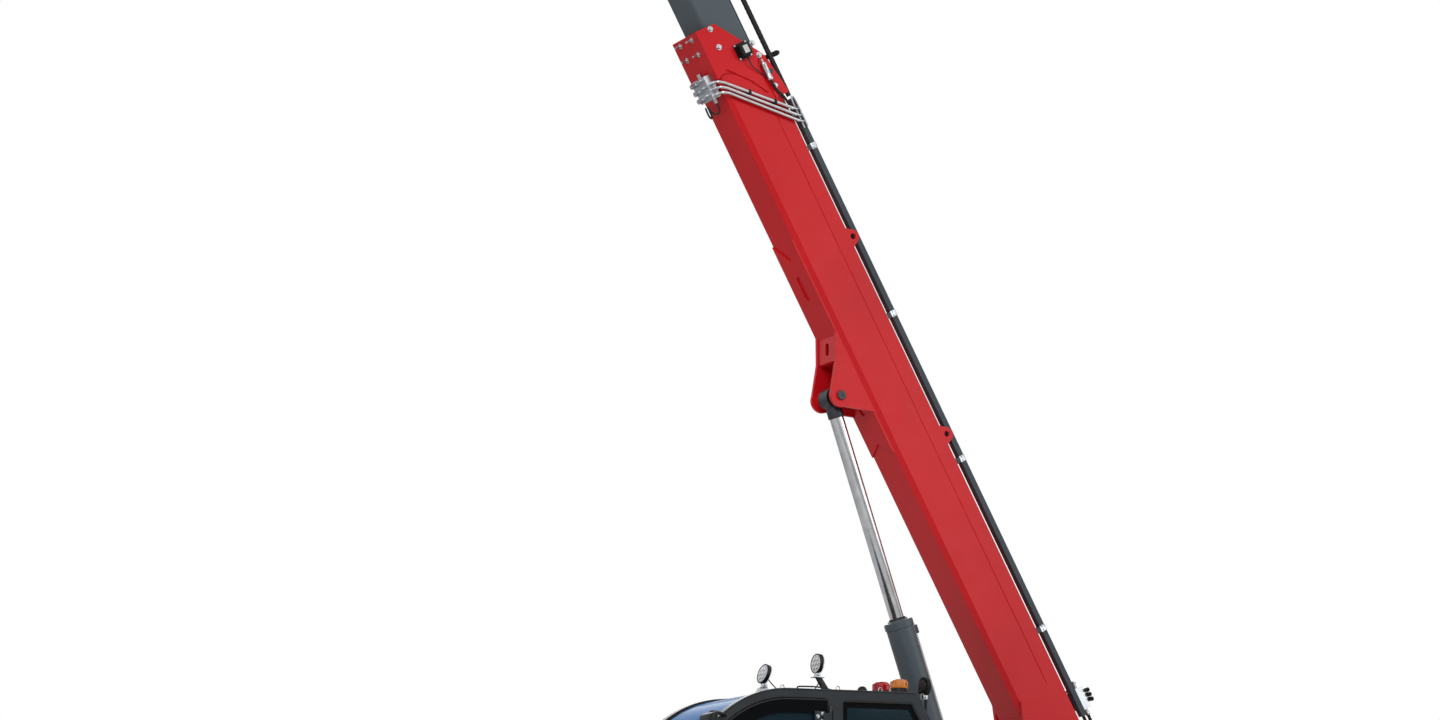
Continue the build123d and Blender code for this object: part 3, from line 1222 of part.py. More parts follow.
# ---- The list of nodes ------------------------------------------------------------------
def build_nodes():
    """Every node by name, each a solid or a list of solids, in the working frame."""
    nodes = {
        "chassis_frame": chassis_frame(),
        "axle_front": axle(1),
        "axle_rear": axle(-1),
        "mudguards": mudguards(),
        "side_lockers": side_lockers(),
        "chassis_lamps": chassis_lamps(),
        "slew_ring": slew_ring(),
        "turret_frame": turret_frame(),
        "turret_pins": turret_pins(),
        "counterweight": counterweight(),
        "exhaust": exhaust(),
        "engine_bay": engine_bay(),
        "engine_block": engine_block(),
        "engine_lid": engine_lid(),
        "hydraulic_tank": hydraulic_tank(),
        "cab_shell": cab_shell(),
        "cab_glazing": cab_glazing(),
        "cab_seat": cab_interior(),
        "steering_column": steering_column(),
        "cab_door": cab_door(),
        "door_glass": door_glass(),
        "roof_lamps": roof_lamps(),
        "beacons": beacons(),
        "mirrors": mirrors(),
        "lift_barrel": lift_barrel(),
        "lift_rod": lift_rod(),
        "boom_base": boom_base(),
        "boom_tray": boom_tray(),
        "boom_pipes": boom_pipes(),
        "boom_valves": boom_valves(),
        "boom_sensor": boom_sensor(),
        "boom_lamp": boom_lamp(),
        "boom_2_lines": boom_2_lines(),
        "carriage": carriage(),
        "forks": forks(),
    }
    for index, row in enumerate(SECTION_TABLE):
        nodes[row[0]] = boom_section(index)
    for name, end, side in CORNER_TABLE:
        nodes["knuckle_" + name] = knuckle(end, side)
        nodes["tyre_" + name] = tyre(end, side)
        nodes["rim_" + name] = rim(end, side)
        nodes["outrigger_beam_" + name] = outrigger_beam(end, side)
        nodes["outrigger_leg_" + name] = outrigger_leg(end, side)
    return nodes


def main():
    """Write one STEP file per node, moved to the finished part's origin."""
    os.makedirs("parts", exist_ok=True)
    for name, piece in build_nodes().items():
        solids = piece if isinstance(piece, list) else [piece]
        flat = [solid for item in solids for solid in item.solids()]
        whole = Compound(flat).moved(Pos(-MIDDLE_X, 0, 0))
        export_step(whole, os.path.join("parts", name + ".step"))


if __name__ == "__main__":
    main()
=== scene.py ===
"""Dresses the rotating telehandler: finishes for every CAD node, and the fine pieces on it."""

from __future__ import annotations

import json
import logging
import math
from dataclasses import dataclass, field
from enum import Enum
from typing import Callable, Sequence

import bmesh
import bpy
from mathutils import Matrix, Vector

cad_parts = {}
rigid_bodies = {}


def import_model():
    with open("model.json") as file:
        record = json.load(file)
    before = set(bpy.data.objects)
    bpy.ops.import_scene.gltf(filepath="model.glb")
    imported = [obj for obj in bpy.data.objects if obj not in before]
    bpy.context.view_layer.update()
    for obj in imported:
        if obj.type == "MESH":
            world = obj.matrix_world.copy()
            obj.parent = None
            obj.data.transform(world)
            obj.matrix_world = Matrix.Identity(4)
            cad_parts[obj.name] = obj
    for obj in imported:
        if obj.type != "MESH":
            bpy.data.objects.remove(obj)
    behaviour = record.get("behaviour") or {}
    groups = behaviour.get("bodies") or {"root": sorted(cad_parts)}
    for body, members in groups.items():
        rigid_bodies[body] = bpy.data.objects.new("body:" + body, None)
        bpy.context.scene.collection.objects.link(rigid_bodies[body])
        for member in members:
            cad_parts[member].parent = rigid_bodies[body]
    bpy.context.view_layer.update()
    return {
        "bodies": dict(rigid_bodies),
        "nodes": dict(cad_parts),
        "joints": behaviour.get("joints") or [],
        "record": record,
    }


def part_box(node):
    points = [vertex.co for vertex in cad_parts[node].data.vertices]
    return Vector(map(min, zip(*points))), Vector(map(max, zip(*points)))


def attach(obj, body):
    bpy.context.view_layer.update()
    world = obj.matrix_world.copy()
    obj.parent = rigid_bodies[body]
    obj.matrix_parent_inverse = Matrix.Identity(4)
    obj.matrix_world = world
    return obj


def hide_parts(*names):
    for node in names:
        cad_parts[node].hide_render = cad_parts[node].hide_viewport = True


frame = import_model()
MM = 0.001

logging.basicConfig(level=logging.INFO, format="%(message)s")
LOG = logging.getLogger("telehandler")


# ---- Finishes ---------------------------------------------------------------------------
Tree = bpy.types.NodeTree
Socket = bpy.types.NodeSocket
Inputs = dict[str, object]


def to_linear(colour: str) -> tuple[float, float, float, float]:
    """Turns an sRGB hex colour into the linear RGBA that a shader takes.

    Args:
        colour: Six hex digits, such as "C8202A".

    Returns:
        Red, green, blue and an alpha of 1, all linear.
    """
    parts = [int(colour[i : i + 2], 16) / 255 for i in (0, 2, 4)]
    linear = [c / 12.92 if c <= 0.04045 else ((c + 0.055) / 1.055) ** 2.4 for c in parts]
    return linear[0], linear[1], linear[2], 1.0


def darker(colour: str, share: float = 0.82) -> str:
    """Gives a hex colour with each part cut to a share."""
    parts = [round(int(colour[i : i + 2], 16) * share) for i in (0, 2, 4)]
    return "".join(f"{part:02X}" for part in parts)


def add_node(
    tree: Tree,
    kind: str,
    inputs: Inputs | None = None,
    stops: Sequence[tuple[float, str]] = (),
    **settings: object,
) -> bpy.types.Node:
    """Adds one node, sets its properties, and fills or links its inputs.

    Args:
        tree: The node tree that takes the node.
        kind: The node's type without its prefix, such as "TexNoise".
        inputs: Socket names with a value, or with an output socket to link from.
        stops: Places from 0 to 1 of a colour band, each with its sRGB hex colour.
        **settings: Properties of the node itself.

    Returns:
        The new node.
    """
    node = tree.nodes.new(f"ShaderNode{kind}")
    for name, value in settings.items():
        setattr(node, name, value)
    for name, value in (inputs or {}).items():
        socket = node.inputs[int(name)] if name.isdigit() else node.inputs[name]
        if isinstance(value, Socket):
            tree.links.new(value, socket)
        else:
            socket.default_value = value
    for index, (place, colour) in enumerate(stops):
        elements = node.color_ramp.elements
        element = elements[index] if index < 2 else elements.new(place)
        element.position = place
        element.color = to_linear(colour)
    return node


@dataclass(frozen=True)
class Finish:
    """A finish as a maker would order it, which turns itself into a material."""

    title: str
    colour: str
    slot: str = ""

    def material(self) -> bpy.types.Material:
        """Makes the material, with its pattern on object coordinates."""
        made = bpy.data.materials.new(self.title)
        made.use_nodes = True
        made.diffuse_color = to_linear(self.colour)
        tree = made.node_tree
        tree.nodes.clear()
        place = add_node(tree, "TexCoord").outputs["Object"]
        shader = add_node(tree, "BsdfPrincipled", self.sockets(tree, place))
        add_node(tree, "OutputMaterial", {"Surface": shader.outputs["BSDF"]})
        return made

    def sockets(self, tree: Tree, place: Socket) -> Inputs:
        """Lays out the finish's patterns.

        Args:
            tree: The material's node tree.
            place: The object coordinates.

        Returns:
            What goes into the shader's sockets: plain values, or sockets to link from.
        """
        raise NotImplementedError


@dataclass(frozen=True)
class SprayedEnamel(Finish):
    """Two-pack enamel sprayed on blasted plate: a clear gloss over faint orange peel.

    The peel breaks the reflections into soft streaks, road film dulls what lies low, and
    the colour drifts a little from panel to panel.
    """

    shade: str = "000000"
    gloss: float = 0.2
    film: str = "8A8078"
    film_top: float = 1.2
    film_foot: float = 0.1
    film_share: float = 0.55
    roughness: float = 0.32
    coat: float = 0.05
    peel_mm: float = 9.0
    peel_depth: float = 0.06

    def sockets(self, tree: Tree, place: Socket) -> Inputs:
        """Lays the drifting colour, the low film, the peel and the clear coat."""
        drift = add_node(tree, "TexNoise", {"Vector": place, "Scale": 0.9, "Detail": 3.0})
        colour = add_node(
            tree,
            "ValToRGB",
            {"Fac": drift.outputs["Fac"]},
            ((0.3, self.shade), (0.62, self.colour)),
        )
        height = add_node(tree, "SeparateXYZ", {"Vector": place})
        low = add_node(tree, "MapRange", {
            "Value": height.outputs["Z"],
            "From Min": self.film_top,
            "From Max": self.film_foot,
            "To Max": self.film_share,
        })
        grime = add_node(tree, "TexNoise", {"Vector": place, "Scale": 7.0, "Detail": 6.0})
        amount = add_node(
            tree,
            "Math",
            {"0": low.outputs["Result"], "1": grime.outputs["Fac"]},
            operation="MULTIPLY",
        )
        mixed = add_node(tree, "Mix", {
            "Factor": amount.outputs["Value"],
            "6": colour.outputs["Color"],
            "7": to_linear(self.film),
        }, data_type="RGBA")
        rough = add_node(tree, "MapRange", {
            "Value": grime.outputs["Fac"],
            "To Min": self.roughness * 0.75,
            "To Max": self.roughness * 1.3,
        })
        scale = 1 / (self.peel_mm * MM)
        peel = add_node(tree, "TexNoise", {"Vector": place, "Scale": scale, "Detail": 1.0})
        bump = add_node(tree, "Bump", {
            "Height": peel.outputs["Fac"], "Strength": self.peel_depth, "Distance": 2 * MM,
        })
        return {
            "Base Color": mixed.outputs[2],
            "Roughness": rough.outputs["Result"],
            "Normal": bump.outputs["Normal"],
            "Coat Weight": self.coat,
            "Coat Roughness": 0.08,
            "IOR": 1.5,
            "Specular IOR Level": self.gloss,
        }


@dataclass(frozen=True)
class Metal(Finish):
    """Bare or plated metal with a fine machined, ground or cast grain, dulled in patches."""

    roughness: float = 0.3
    grain_mm: float = 3.0
    depth: float = 0.1

    def sockets(self, tree: Tree, place: Socket) -> Inputs:
        """Lays the metal, its grain and the patches where it has dulled."""
        scale = 1 / (self.grain_mm * MM)
        grain = add_node(tree, "TexNoise", {"Vector": place, "Scale": scale, "Detail": 3.0})
        patch = add_node(tree, "TexNoise", {"Vector": place, "Scale": 11.0, "Detail": 4.0})
        lit = add_node(
            tree,
            "ValToRGB",
            {"Fac": patch.outputs["Fac"]},
            ((0.25, self.colour), (0.8, darker(self.colour))),
        )
        rough = add_node(tree, "MapRange", {
            "Value": grain.outputs["Fac"],
            "To Min": self.roughness * 0.7,
            "To Max": self.roughness * 1.4,
        })
        bump = add_node(tree, "Bump", {
            "Height": grain.outputs["Fac"], "Strength": self.depth, "Distance": 0.6 * MM,
        })
        return {
            "Metallic": 1.0,
            "Base Color": lit.outputs["Color"],
            "Roughness": rough.outputs["Result"],
            "Normal": bump.outputs["Normal"],
        }


@dataclass(frozen=True)
class Rubber(Finish):
    """Carbon-black rubber, vulcanised in a steel mould and greyed by dust.

    It is never quite black: the dust lifts it in patches.
    """

    dust: str = "6F6A63"
    dust_share: float = 0.35
    grain_mm: float = 4.0

    def sockets(self, tree: Tree, place: Socket) -> Inputs:
        """Lays patchy dust over matt black, with the mould's grain."""
        patch = add_node(tree, "TexNoise", {"Vector": place, "Scale": 9.0, "Detail": 8.0})
        amount = add_node(tree, "MapRange", {
            "Value": patch.outputs["Fac"],
            "To Min": -self.dust_share,
            "To Max": self.dust_share * 1.6,
        })
        mixed = add_node(tree, "Mix", {
            "Factor": amount.outputs["Result"],
            "6": to_linear(self.colour),
            "7": to_linear(self.dust),
        }, data_type="RGBA", clamp_factor=True)
        scale = 1 / (self.grain_mm * MM)
        grain = add_node(tree, "TexNoise", {"Vector": place, "Scale": scale, "Detail": 2.0})
        bump = add_node(tree, "Bump", {
            "Height": grain.outputs["Fac"], "Strength": 0.25, "Distance": MM,
        })
        return {
            "Base Color": mixed.outputs[2],
            "Normal": bump.outputs["Normal"],
            "Roughness": 0.72,
            "Specular IOR Level": 0.4,
        }


@dataclass(frozen=True)
class Moulded(Finish):
    """Injection-moulded or powder-coated plastic skin with a fine even texture.

    The texture scatters the highlight, so the piece reads as plastic and not as paint.
    """

    roughness: float = 0.5
    texture_mm: float = 2.0
    depth: float = 0.2

    def sockets(self, tree: Tree, place: Socket) -> Inputs:
        """Lays the colour with its slow drift, and the moulded texture."""
        drift = add_node(tree, "TexNoise", {"Vector": place, "Scale": 5.0, "Detail": 4.0})
        colour = add_node(
            tree,
            "ValToRGB",
            {"Fac": drift.outputs["Fac"]},
            ((0.3, darker(self.colour)), (0.7, self.colour)),
        )
        scale = 1 / (self.texture_mm * MM)
        texture = add_node(tree, "TexVoronoi", {"Vector": place, "Scale": scale})
        bump = add_node(tree, "Bump", {
            "Height": texture.outputs["Distance"],
            "Strength": self.depth,
            "Distance": 0.4 * MM,
        })
        rough = add_node(tree, "MapRange", {
            "Value": drift.outputs["Fac"],
            "To Min": self.roughness * 0.8,
            "To Max": self.roughness * 1.2,
        })
        return {
            "Base Color": colour.outputs["Color"],
            "Normal": bump.outputs["Normal"],
            "Roughness": rough.outputs["Result"],
            "Specular IOR Level": 0.2,
        }


@dataclass(frozen=True)
class Glazing(Finish):
    """Toughened glass or clear plastic, tinted in the mass, with a trace of dust.

    The tint shows where the pane is seen edge on or against the dark cab, and the smooth
    face keeps sharp reflections.
    """

    clear: float = 0.85
    roughness: float = 0.02
    ior: float = 1.45
    smear: float = 0.05
    mirrored: float = 0.5

    def sockets(self, tree: Tree, place: Socket) -> Inputs:
        """Lays the tint, the clearness and the dust that dulls the gloss in patches."""
        patch = add_node(tree, "TexNoise", {"Vector": place, "Scale": 3.0, "Detail": 5.0})
        rough = add_node(tree, "MapRange", {
            "Value": patch.outputs["Fac"],
            "To Min": self.roughness,
            "To Max": self.roughness + self.smear,
        })
        return {
            "Roughness": rough.outputs["Result"],
            "Base Color": to_linear(self.colour),
            "Transmission Weight": self.clear,
            "IOR": self.ior,
            "Specular IOR Level": self.mirrored,
        }


@dataclass(frozen=True)
class Fabric(Finish):
    """Woven seat cloth: a plain weave of about 3 mm, drawn at 6 mm so that it shows."""

    thread_mm: float = 6.0

    def sockets(self, tree: Tree, place: Socket) -> Inputs:
        """Lays the weave's two thread directions and the soft sheen of the fibres."""
        scale = 1 / (self.thread_mm * MM) / 6.28
        warp, weft = (
            add_node(tree, "TexWave", {"Vector": place, "Scale": scale}, bands_direction=way)
            for way in "XZ"
        )
        weave = add_node(
            tree,
            "Math",
            {"0": warp.outputs["Fac"], "1": weft.outputs["Fac"]},
            operation="MULTIPLY",
        )
        colour = add_node(
            tree,
            "ValToRGB",
            {"Fac": weave.outputs["Value"]},
            ((0.0, "15161A"), (0.8, self.colour)),
        )
        bump = add_node(tree, "Bump", {
            "Height": weave.outputs["Value"], "Strength": 0.4, "Distance": 2 * MM,
        })
        return {
            "Base Color": colour.outputs["Color"],
            "Normal": bump.outputs["Normal"],
            "Roughness": 0.85,
            "Sheen Weight": 0.3,
        }


class Coat(Enum):
    """Every finish on the machine; a member named as a record slot dresses its nodes."""

    # Gloss enamel on welded plate: warm red with a soft, slightly pink highlight.
    red_paint = SprayedEnamel("red_enamel", "D0151E", shade="C21119")
    # The same enamel in slate, on the inner boom sections and the barrel.
    slate_paint = SprayedEnamel("slate_enamel", "566066", shade="4C565C", roughness=0.36)
    # A darker copy of the slate enamel on the folded hose tray.
    tray_paint = SprayedEnamel(
        "dark_slate_enamel", "3D474D", "slate_paint", shade="353E44", roughness=0.42
    )
    # Graphite enamel on the chassis and turret, flatter and with more road film.
    grey_paint = SprayedEnamel(
        "graphite_enamel", "3A3D40", shade="313437", roughness=0.42, coat=0.02
    )
    # Powder coat on the cab's pressed frame: charcoal with a fine leather texture.
    cab_grey = Moulded("charcoal_powder_coat", "2E3337", roughness=0.42, texture_mm=3.0)
    # Hard chrome ground to size: bright, with a hair-fine grain.
    chrome = Metal("hard_chrome", "D9DBDD", roughness=0.16, grain_mm=2.0, depth=0.03)
    # Dusty tyre rubber.
    rubber = Rubber("tyre_rubber", "1B1B1C", dust_share=0.16)
    # Light grey enamel on the pressed wheel discs.
    rim_paint = SprayedEnamel(
        "silver_grey_wheel_enamel", "A9ABAD", shade="989A9C", roughness=0.4, coat=0.05
    )
    # Heat-absorbing toughened glass: a clear blue over the dark cab.
    glass = Glazing(
        "blue_safety_glass", "3078BA", clear=0.08, roughness=0.08, ior=1.12, mirrored=0.01
    )
    # Black nylon lamp bodies and mouldings.
    lamp_black = Moulded("black_nylon", "17181A", roughness=0.45, texture_mm=2.0)
    # Amber polycarbonate beacon lens, which glows where light passes it.
    amber = Glazing("amber_polycarbonate", "F08A12", clear=0.35, roughness=0.1, ior=1.58)
    # Seat cloth.
    seat = Fabric("woven_seat_cloth", "3C3F45")
    # Mill-finish steel of forks, pins and plates, darkened by oil.
    steel = Metal("oiled_mill_steel", "8D8F92", roughness=0.4, grain_mm=6.0, depth=0.15)
    # Sand-cast iron of hubs and axle housings, dark and coarse.
    iron = Metal("cast_iron", "55575A", roughness=0.55, grain_mm=5.0, depth=0.5)
    # Bright zinc on bolts, clips and pipe fittings: cool, with a faint bloom.
    zinc = Metal("bright_zinc_plate", "C9CCD0", "steel", roughness=0.28, grain_mm=4.0)
    # Phosphated and oiled steel of pin caps and rod eyes: near black, half matt.
    phosphate = Metal("phosphated_steel", "4A4D51", "steel", roughness=0.45, depth=0.2)
    # Wire-braided hydraulic hose with a smooth black cover.
    hose = Rubber("hydraulic_hose_cover", "141415", "rubber", dust_share=0.12, grain_mm=8.0)
    # Extruded rubber round the panes: black with a dull line of light along it.
    gasket = Rubber("extruded_gasket_rubber", "101112", "rubber", dust_share=0.08)
    # Polyamide pipe clamps and cable ties.
    polyamide = Moulded("black_polyamide", "1B1C1E", "lamp_black", roughness=0.4)
    # Screen-printed ceramic band baked on the panes' edges.
    frit = Glazing(
        "black_ceramic_band", "0B0C0E", "glass", clear=0.0, roughness=0.2, ior=1.15, mirrored=0.2
    )
    # Door and side panes under a dark teal film: the cab behind is hardly seen.
    dark_glass = Glazing(
        "teal_privacy_glass", "17303A", "glass", clear=0.35, roughness=0.03, ior=1.18,
        mirrored=0.3,
    )
    # Clear moulded lamp lens over a bright reflector.
    lens = Glazing("clear_lamp_lens", "EEF1F4", "glass", clear=0.25, roughness=0.12)
    # Ruby polycarbonate of the tail lamps and the second beacon.
    ruby = Glazing("ruby_polycarbonate", "C4161C", "amber", clear=0.3, roughness=0.1)
    # White vinyl film of a blank plate, slightly satin.
    vinyl = Moulded("white_vinyl_film", "E6E7E8", "lamp_black", roughness=0.35, depth=0.05)
    # Silvered mirror glass.
    mirror = Metal("silvered_mirror", "DDE2E6", "chrome", roughness=0.04, depth=0.0)
    # Engine-block enamel: mid grey with a little oil on it.
    engine = SprayedEnamel(
        "engine_enamel", "6F7478", "iron", shade="5B6064", roughness=0.5, coat=0.02
    )
    # Perforated steel and fins of the radiator, dusty aluminium.
    fins = Metal("dusty_aluminium_fins", "8A8C8E", "steel", roughness=0.5, grain_mm=9.0)


# Nodes whose finish differs in shade from their slot's.
SPECIAL_COATS = {
    "boom_tray": Coat.tray_paint,
    "boom_2_lines": Coat.polyamide,
    "boom_valves": Coat.zinc,
}


@dataclass
class Wardrobe:
    """Keeps one material for each finish, so that pieces share them."""

    made: dict[str, bpy.types.Material] = field(default_factory=dict)

    def get(self, coat: Coat) -> bpy.types.Material:
        """Gives a finish's material, made on first use.

        Args:
            coat: Which finish.

        Returns:
            The material.
        """
        if coat.name not in self.made:
            self.made[coat.name] = coat.value.material()
        return self.made[coat.name]

    def dress_frame(self) -> None:
        """Gives every CAD node the finish of its slot in the record."""
        slots = {row["node"]: row["material_slot"] for row in frame["record"]["subparts"]}
        for name, node in frame["nodes"].items():
            coat = SPECIAL_COATS.get(name, Coat[slots[name]])
            node.data.materials.clear()
            node.data.materials.append(self.get(coat))
            LOG.info("finish %s on %s", coat.name, name)


# ---- Bench ------------------------------------------------------------------------------
Test = Callable[[Vector, Vector], bool]
Corner = Sequence[float]


def square_to(axis: Corner) -> Matrix:
    """Gives the turn that lays local Z along an axis."""
    return Vector(axis).to_track_quat("Z", "Y").to_matrix().to_4x4()


@dataclass
class Blank:
    """A piece on the bench: one mesh, started from a primitive and shaped in edit mode."""

    thing: bpy.types.Object

    def hold(self) -> None:
        """Deselects everything else and makes this piece the active one."""
        bpy.ops.object.select_all(action="DESELECT")
        self.thing.select_set(True)
        bpy.context.view_layer.objects.active = self.thing

    @classmethod
    def block(cls, name: str, low: Corner, high: Corner) -> Blank:
        """Starts a rectangular block between two corners.

        Args:
            name: The piece's name.
            low: Its lowest corner.
            high: Its highest corner.

        Returns:
            The block.
        """
        bpy.ops.object.select_all(action="DESELECT")
        a, b = Vector(low), Vector(high)
        bpy.ops.mesh.primitive_cube_add(size=1, location=(a + b) / 2)
        thing = bpy.context.active_object
        thing.scale = b - a
        bpy.ops.object.transform_apply(location=True, rotation=True, scale=True)
        thing.name = name
        return cls(thing)

    @classmethod
    def bar(
        cls,
        name: str,
        start: Corner,
        end: Corner,
        radius: float,
        sides: int = 16,
        taper: float = 1.0,
    ) -> Blank:
        """Starts a round bar or cone between two points.

        Args:
            name: The piece's name.
            start: The middle of its first end.
            end: The middle of its other end.
            radius: Its radius at the first end.
            sides: How many flats go round it.
            taper: The other end's radius as a share of the first.

        Returns:
            The bar.
        """
        bpy.ops.object.select_all(action="DESELECT")
        a, b = Vector(start), Vector(end)
        bpy.ops.mesh.primitive_cone_add(
            vertices=sides, radius1=radius, radius2=radius * taper, depth=(b - a).length
        )
        thing = bpy.context.active_object
        thing.data.transform(Matrix.Translation((a + b) / 2) @ square_to(b - a))
        thing.matrix_world = Matrix.Identity(4)
        thing.name = name
        return cls(thing)

    @classmethod
    def turned(
        cls,
        name: str,
        profile: Sequence[tuple[float, float]],
        foot: Corner,
        axis: Corner,
        steps: int = 32,
    ) -> Blank:
        """Spins a closed profile of radius and height about an axis, as on a lathe.

        Args:
            name: The piece's name.
            profile: Radius and height of each corner, in order.
            foot: Where height 0 lies on the axis.
            axis: The axis's direction.
            steps: How many steps go round.

        Returns:
            The turned piece.
        """
        made = cls.outline(name, [(radius, 0.0, height) for radius, height in profile], False)
        made.pick(None)
        bpy.ops.mesh.select_all(action="SELECT")
        bpy.ops.mesh.spin(steps=steps, angle=2 * math.pi, center=(0, 0, 0), axis=(0, 0, 1))
        bpy.ops.mesh.select_all(action="SELECT")
        bpy.ops.mesh.remove_doubles(threshold=1e-5)
        bpy.ops.mesh.delete_loose(use_faces=False)
        bpy.ops.mesh.select_all(action="SELECT")
        bpy.ops.mesh.normals_make_consistent(inside=False)
        bpy.ops.object.mode_set(mode="OBJECT")
        return made.move(shift(*foot) @ square_to(axis))

    @classmethod
    def outline(cls, name: str, corners: Sequence[Corner], filled: bool = True) -> Blank:
        """Starts a closed outline through given corners.

        Args:
            name: The piece's name.
            corners: The corners in order.
            filled: Whether a face spans it.

        Returns:
            The outline.
        """
        bpy.ops.object.select_all(action="DESELECT")
        bpy.ops.mesh.primitive_circle_add(
            vertices=len(corners), fill_type="NGON" if filled else "NOTHING"
        )
        thing = bpy.context.active_object
        for vertex, corner in zip(thing.data.vertices, corners):
            vertex.co = corner
        thing.name = name
        return cls(thing)

    @classmethod
    def plate(cls, name: str, corners: Sequence[Corner], thickness: Corner) -> Blank:
        """Extrudes a filled outline into a plate.

        Args:
            name: The piece's name.
            corners: The outline's corners in order.
            thickness: The extrusion, as a vector.

        Returns:
            The plate.
        """
        return cls.outline(name, corners).extrude(thickness).face_out()

    @classmethod
    def ring(
        cls,
        name: str,
        corners: Sequence[Corner],
        width: float,
        thickness: Corner,
        cuts: Sequence[tuple[Corner, Corner]] = (),
    ) -> Blank:
        """Makes a flat band that follows an outline inside its edge.

        Args:
            name: The piece's name.
            corners: The outline's corners in order.
            width: The band's width.
            thickness: The extrusion, as a vector.
            cuts: Planes, each a point and a normal, that trim the outline first.

        Returns:
            The band.
        """
        made = cls.outline(name, corners)
        for point, normal in cuts:
            made.cut(point, normal)
        made.pick(None)
        bpy.ops.mesh.inset(thickness=width, depth=0, use_even_offset=True)
        bpy.ops.mesh.delete(type="FACE")
        bpy.ops.object.mode_set(mode="OBJECT")
        return made.extrude(thickness).face_out()

    @classmethod
    def tube(cls, name: str, points: Sequence[Corner], radius: float, sides: int = 3) -> Blank:
        """Draws a fixed pipe or clipped cable along a smooth line.

        Args:
            name: The piece's name.
            points: The line's control points.
            radius: The pipe's radius.
            sides: The bevel's resolution, where 3 gives 10 flats.

        Returns:
            The pipe as a mesh.
        """
        curve = bpy.data.curves.new(name, "CURVE")
        curve.dimensions = "3D"
        curve.bevel_depth = radius
        curve.bevel_resolution = sides
        curve.use_fill_caps = True
        curve.resolution_u = 5
        spline = curve.splines.new("NURBS")
        spline.points.add(len(points) - 1)
        for knot, point in zip(spline.points, points):
            knot.co = (*point, 1.0)
        spline.order_u = 3
        spline.use_endpoint_u = True
        thing = bpy.data.objects.new(name, curve)
        bpy.context.scene.collection.objects.link(thing)
        cls(thing).hold()
        bpy.ops.object.convert(target="MESH")
        return cls(bpy.context.active_object)

    def pick(self, test: Test | None) -> None:
        """Enters edit mode with the faces selected whose middle and normal pass a test.

        Args:
            test: Takes a face's middle and normal; None selects every face.
        """
        self.hold()
        bpy.ops.object.mode_set(mode="EDIT")
        bpy.ops.mesh.select_mode(type="FACE")
        mesh = bmesh.from_edit_mesh(self.thing.data)
        for face in mesh.faces:
            face.select_set(test is None or test(face.calc_center_median(), face.normal))
        bmesh.update_edit_mesh(self.thing.data)

    def edit(self, test: Test | None, operator: Callable, **settings: object) -> Blank:
        """Runs one edit-mode operator on faces.

        Args:
            test: Which faces.
            operator: The operator.
            **settings: Its settings.

        Returns:
            The piece.
        """
        self.pick(test)
        operator(**settings)
        bpy.ops.object.mode_set(mode="OBJECT")
        return self

    def extrude(self, offset: Corner) -> Blank:
        """Extrudes every face by a vector."""
        moved = {"value": Vector(offset)}
        return self.edit(None, bpy.ops.mesh.extrude_region_move, TRANSFORM_OT_translate=moved)

    def face_out(self) -> Blank:
        """Turns every face outwards."""
        return self.edit(None, bpy.ops.mesh.normals_make_consistent, inside=False)

    def inset(self, test: Test | None, thickness: float, depth: float = 0.0) -> Blank:
        """Insets faces as one region, and sinks or lifts what is inside.

        Args:
            test: Which faces.
            thickness: The width of the new border.
            depth: How far the inner face rises; below zero it sinks.

        Returns:
            The piece.
        """
        return self.edit(
            test, bpy.ops.mesh.inset, thickness=thickness, depth=depth, use_even_offset=True
        )

    def resize(self, test: Test, factors: Corner) -> Blank:
        """Scales faces about their own middle.

        Args:
            test: Which faces.
            factors: The scale along each axis.

        Returns:
            The piece.
        """
        self.pick(test)
        mesh = bmesh.from_edit_mesh(self.thing.data)
        picked = [v.co for v in mesh.verts if v.select]
        middle = sum(picked, Vector()) / max(len(picked), 1)
        bpy.ops.transform.resize(value=factors, center_override=middle)
        bpy.ops.object.mode_set(mode="OBJECT")
        return self

    def cut(self, point: Corner, normal: Corner) -> Blank:
        """Cuts the piece with a plane and keeps the side that the normal points to."""
        return self.edit(
            None,
            bpy.ops.mesh.bisect,
            plane_co=point,
            plane_no=normal,
            clear_inner=True,
            use_fill=True,
        )

    def modify(self, kind: str, **settings: object) -> Blank:
        """Adds a modifier with its settings and applies it.

        Args:
            kind: The modifier's type.
            **settings: Its properties.

        Returns:
            The piece.
        """
        self.hold()
        modifier = self.thing.modifiers.new(kind.lower(), kind)
        for name, value in settings.items():
            setattr(modifier, name, value)
        bpy.ops.object.modifier_apply(modifier=modifier.name)
        return self

    def ease(self, width: float, segments: int = 2, angle: float = 35.0) -> Blank:
        """Rounds every edge that is sharper than an angle.

        Args:
            width: The rounding's width.
            segments: How many steps it has.
            angle: The least angle in degrees.

        Returns:
            The piece.
        """
        return self.modify(
            "BEVEL", width=width, segments=segments, angle_limit=math.radians(angle),
            limit_method="ANGLE",
        )

    def move(self, matrix: Matrix) -> Blank:
        """Moves the mesh itself, so that the object stays at the origin."""
        self.thing.data.transform(matrix)
        return self

    def twin(self, matrix: Matrix) -> Blank:
        """Copies the piece with a mesh of its own and moves the copy.

        Args:
            matrix: Where the copy goes, from where the piece is.

        Returns:
            The copy.
        """
        thing = self.thing.copy()
        thing.data = self.thing.data.copy()
        bpy.context.scene.collection.objects.link(thing)
        made = Blank(thing).move(matrix)
        if matrix.determinant() < 0:
            made.edit(None, bpy.ops.mesh.flip_normals)
        return made

    def add(self, *others: Blank) -> Blank:
        """Joins other pieces into this one."""
        if others:
            self.hold()
            for other in others:
                other.thing.select_set(True)
            bpy.ops.object.join()
        return self

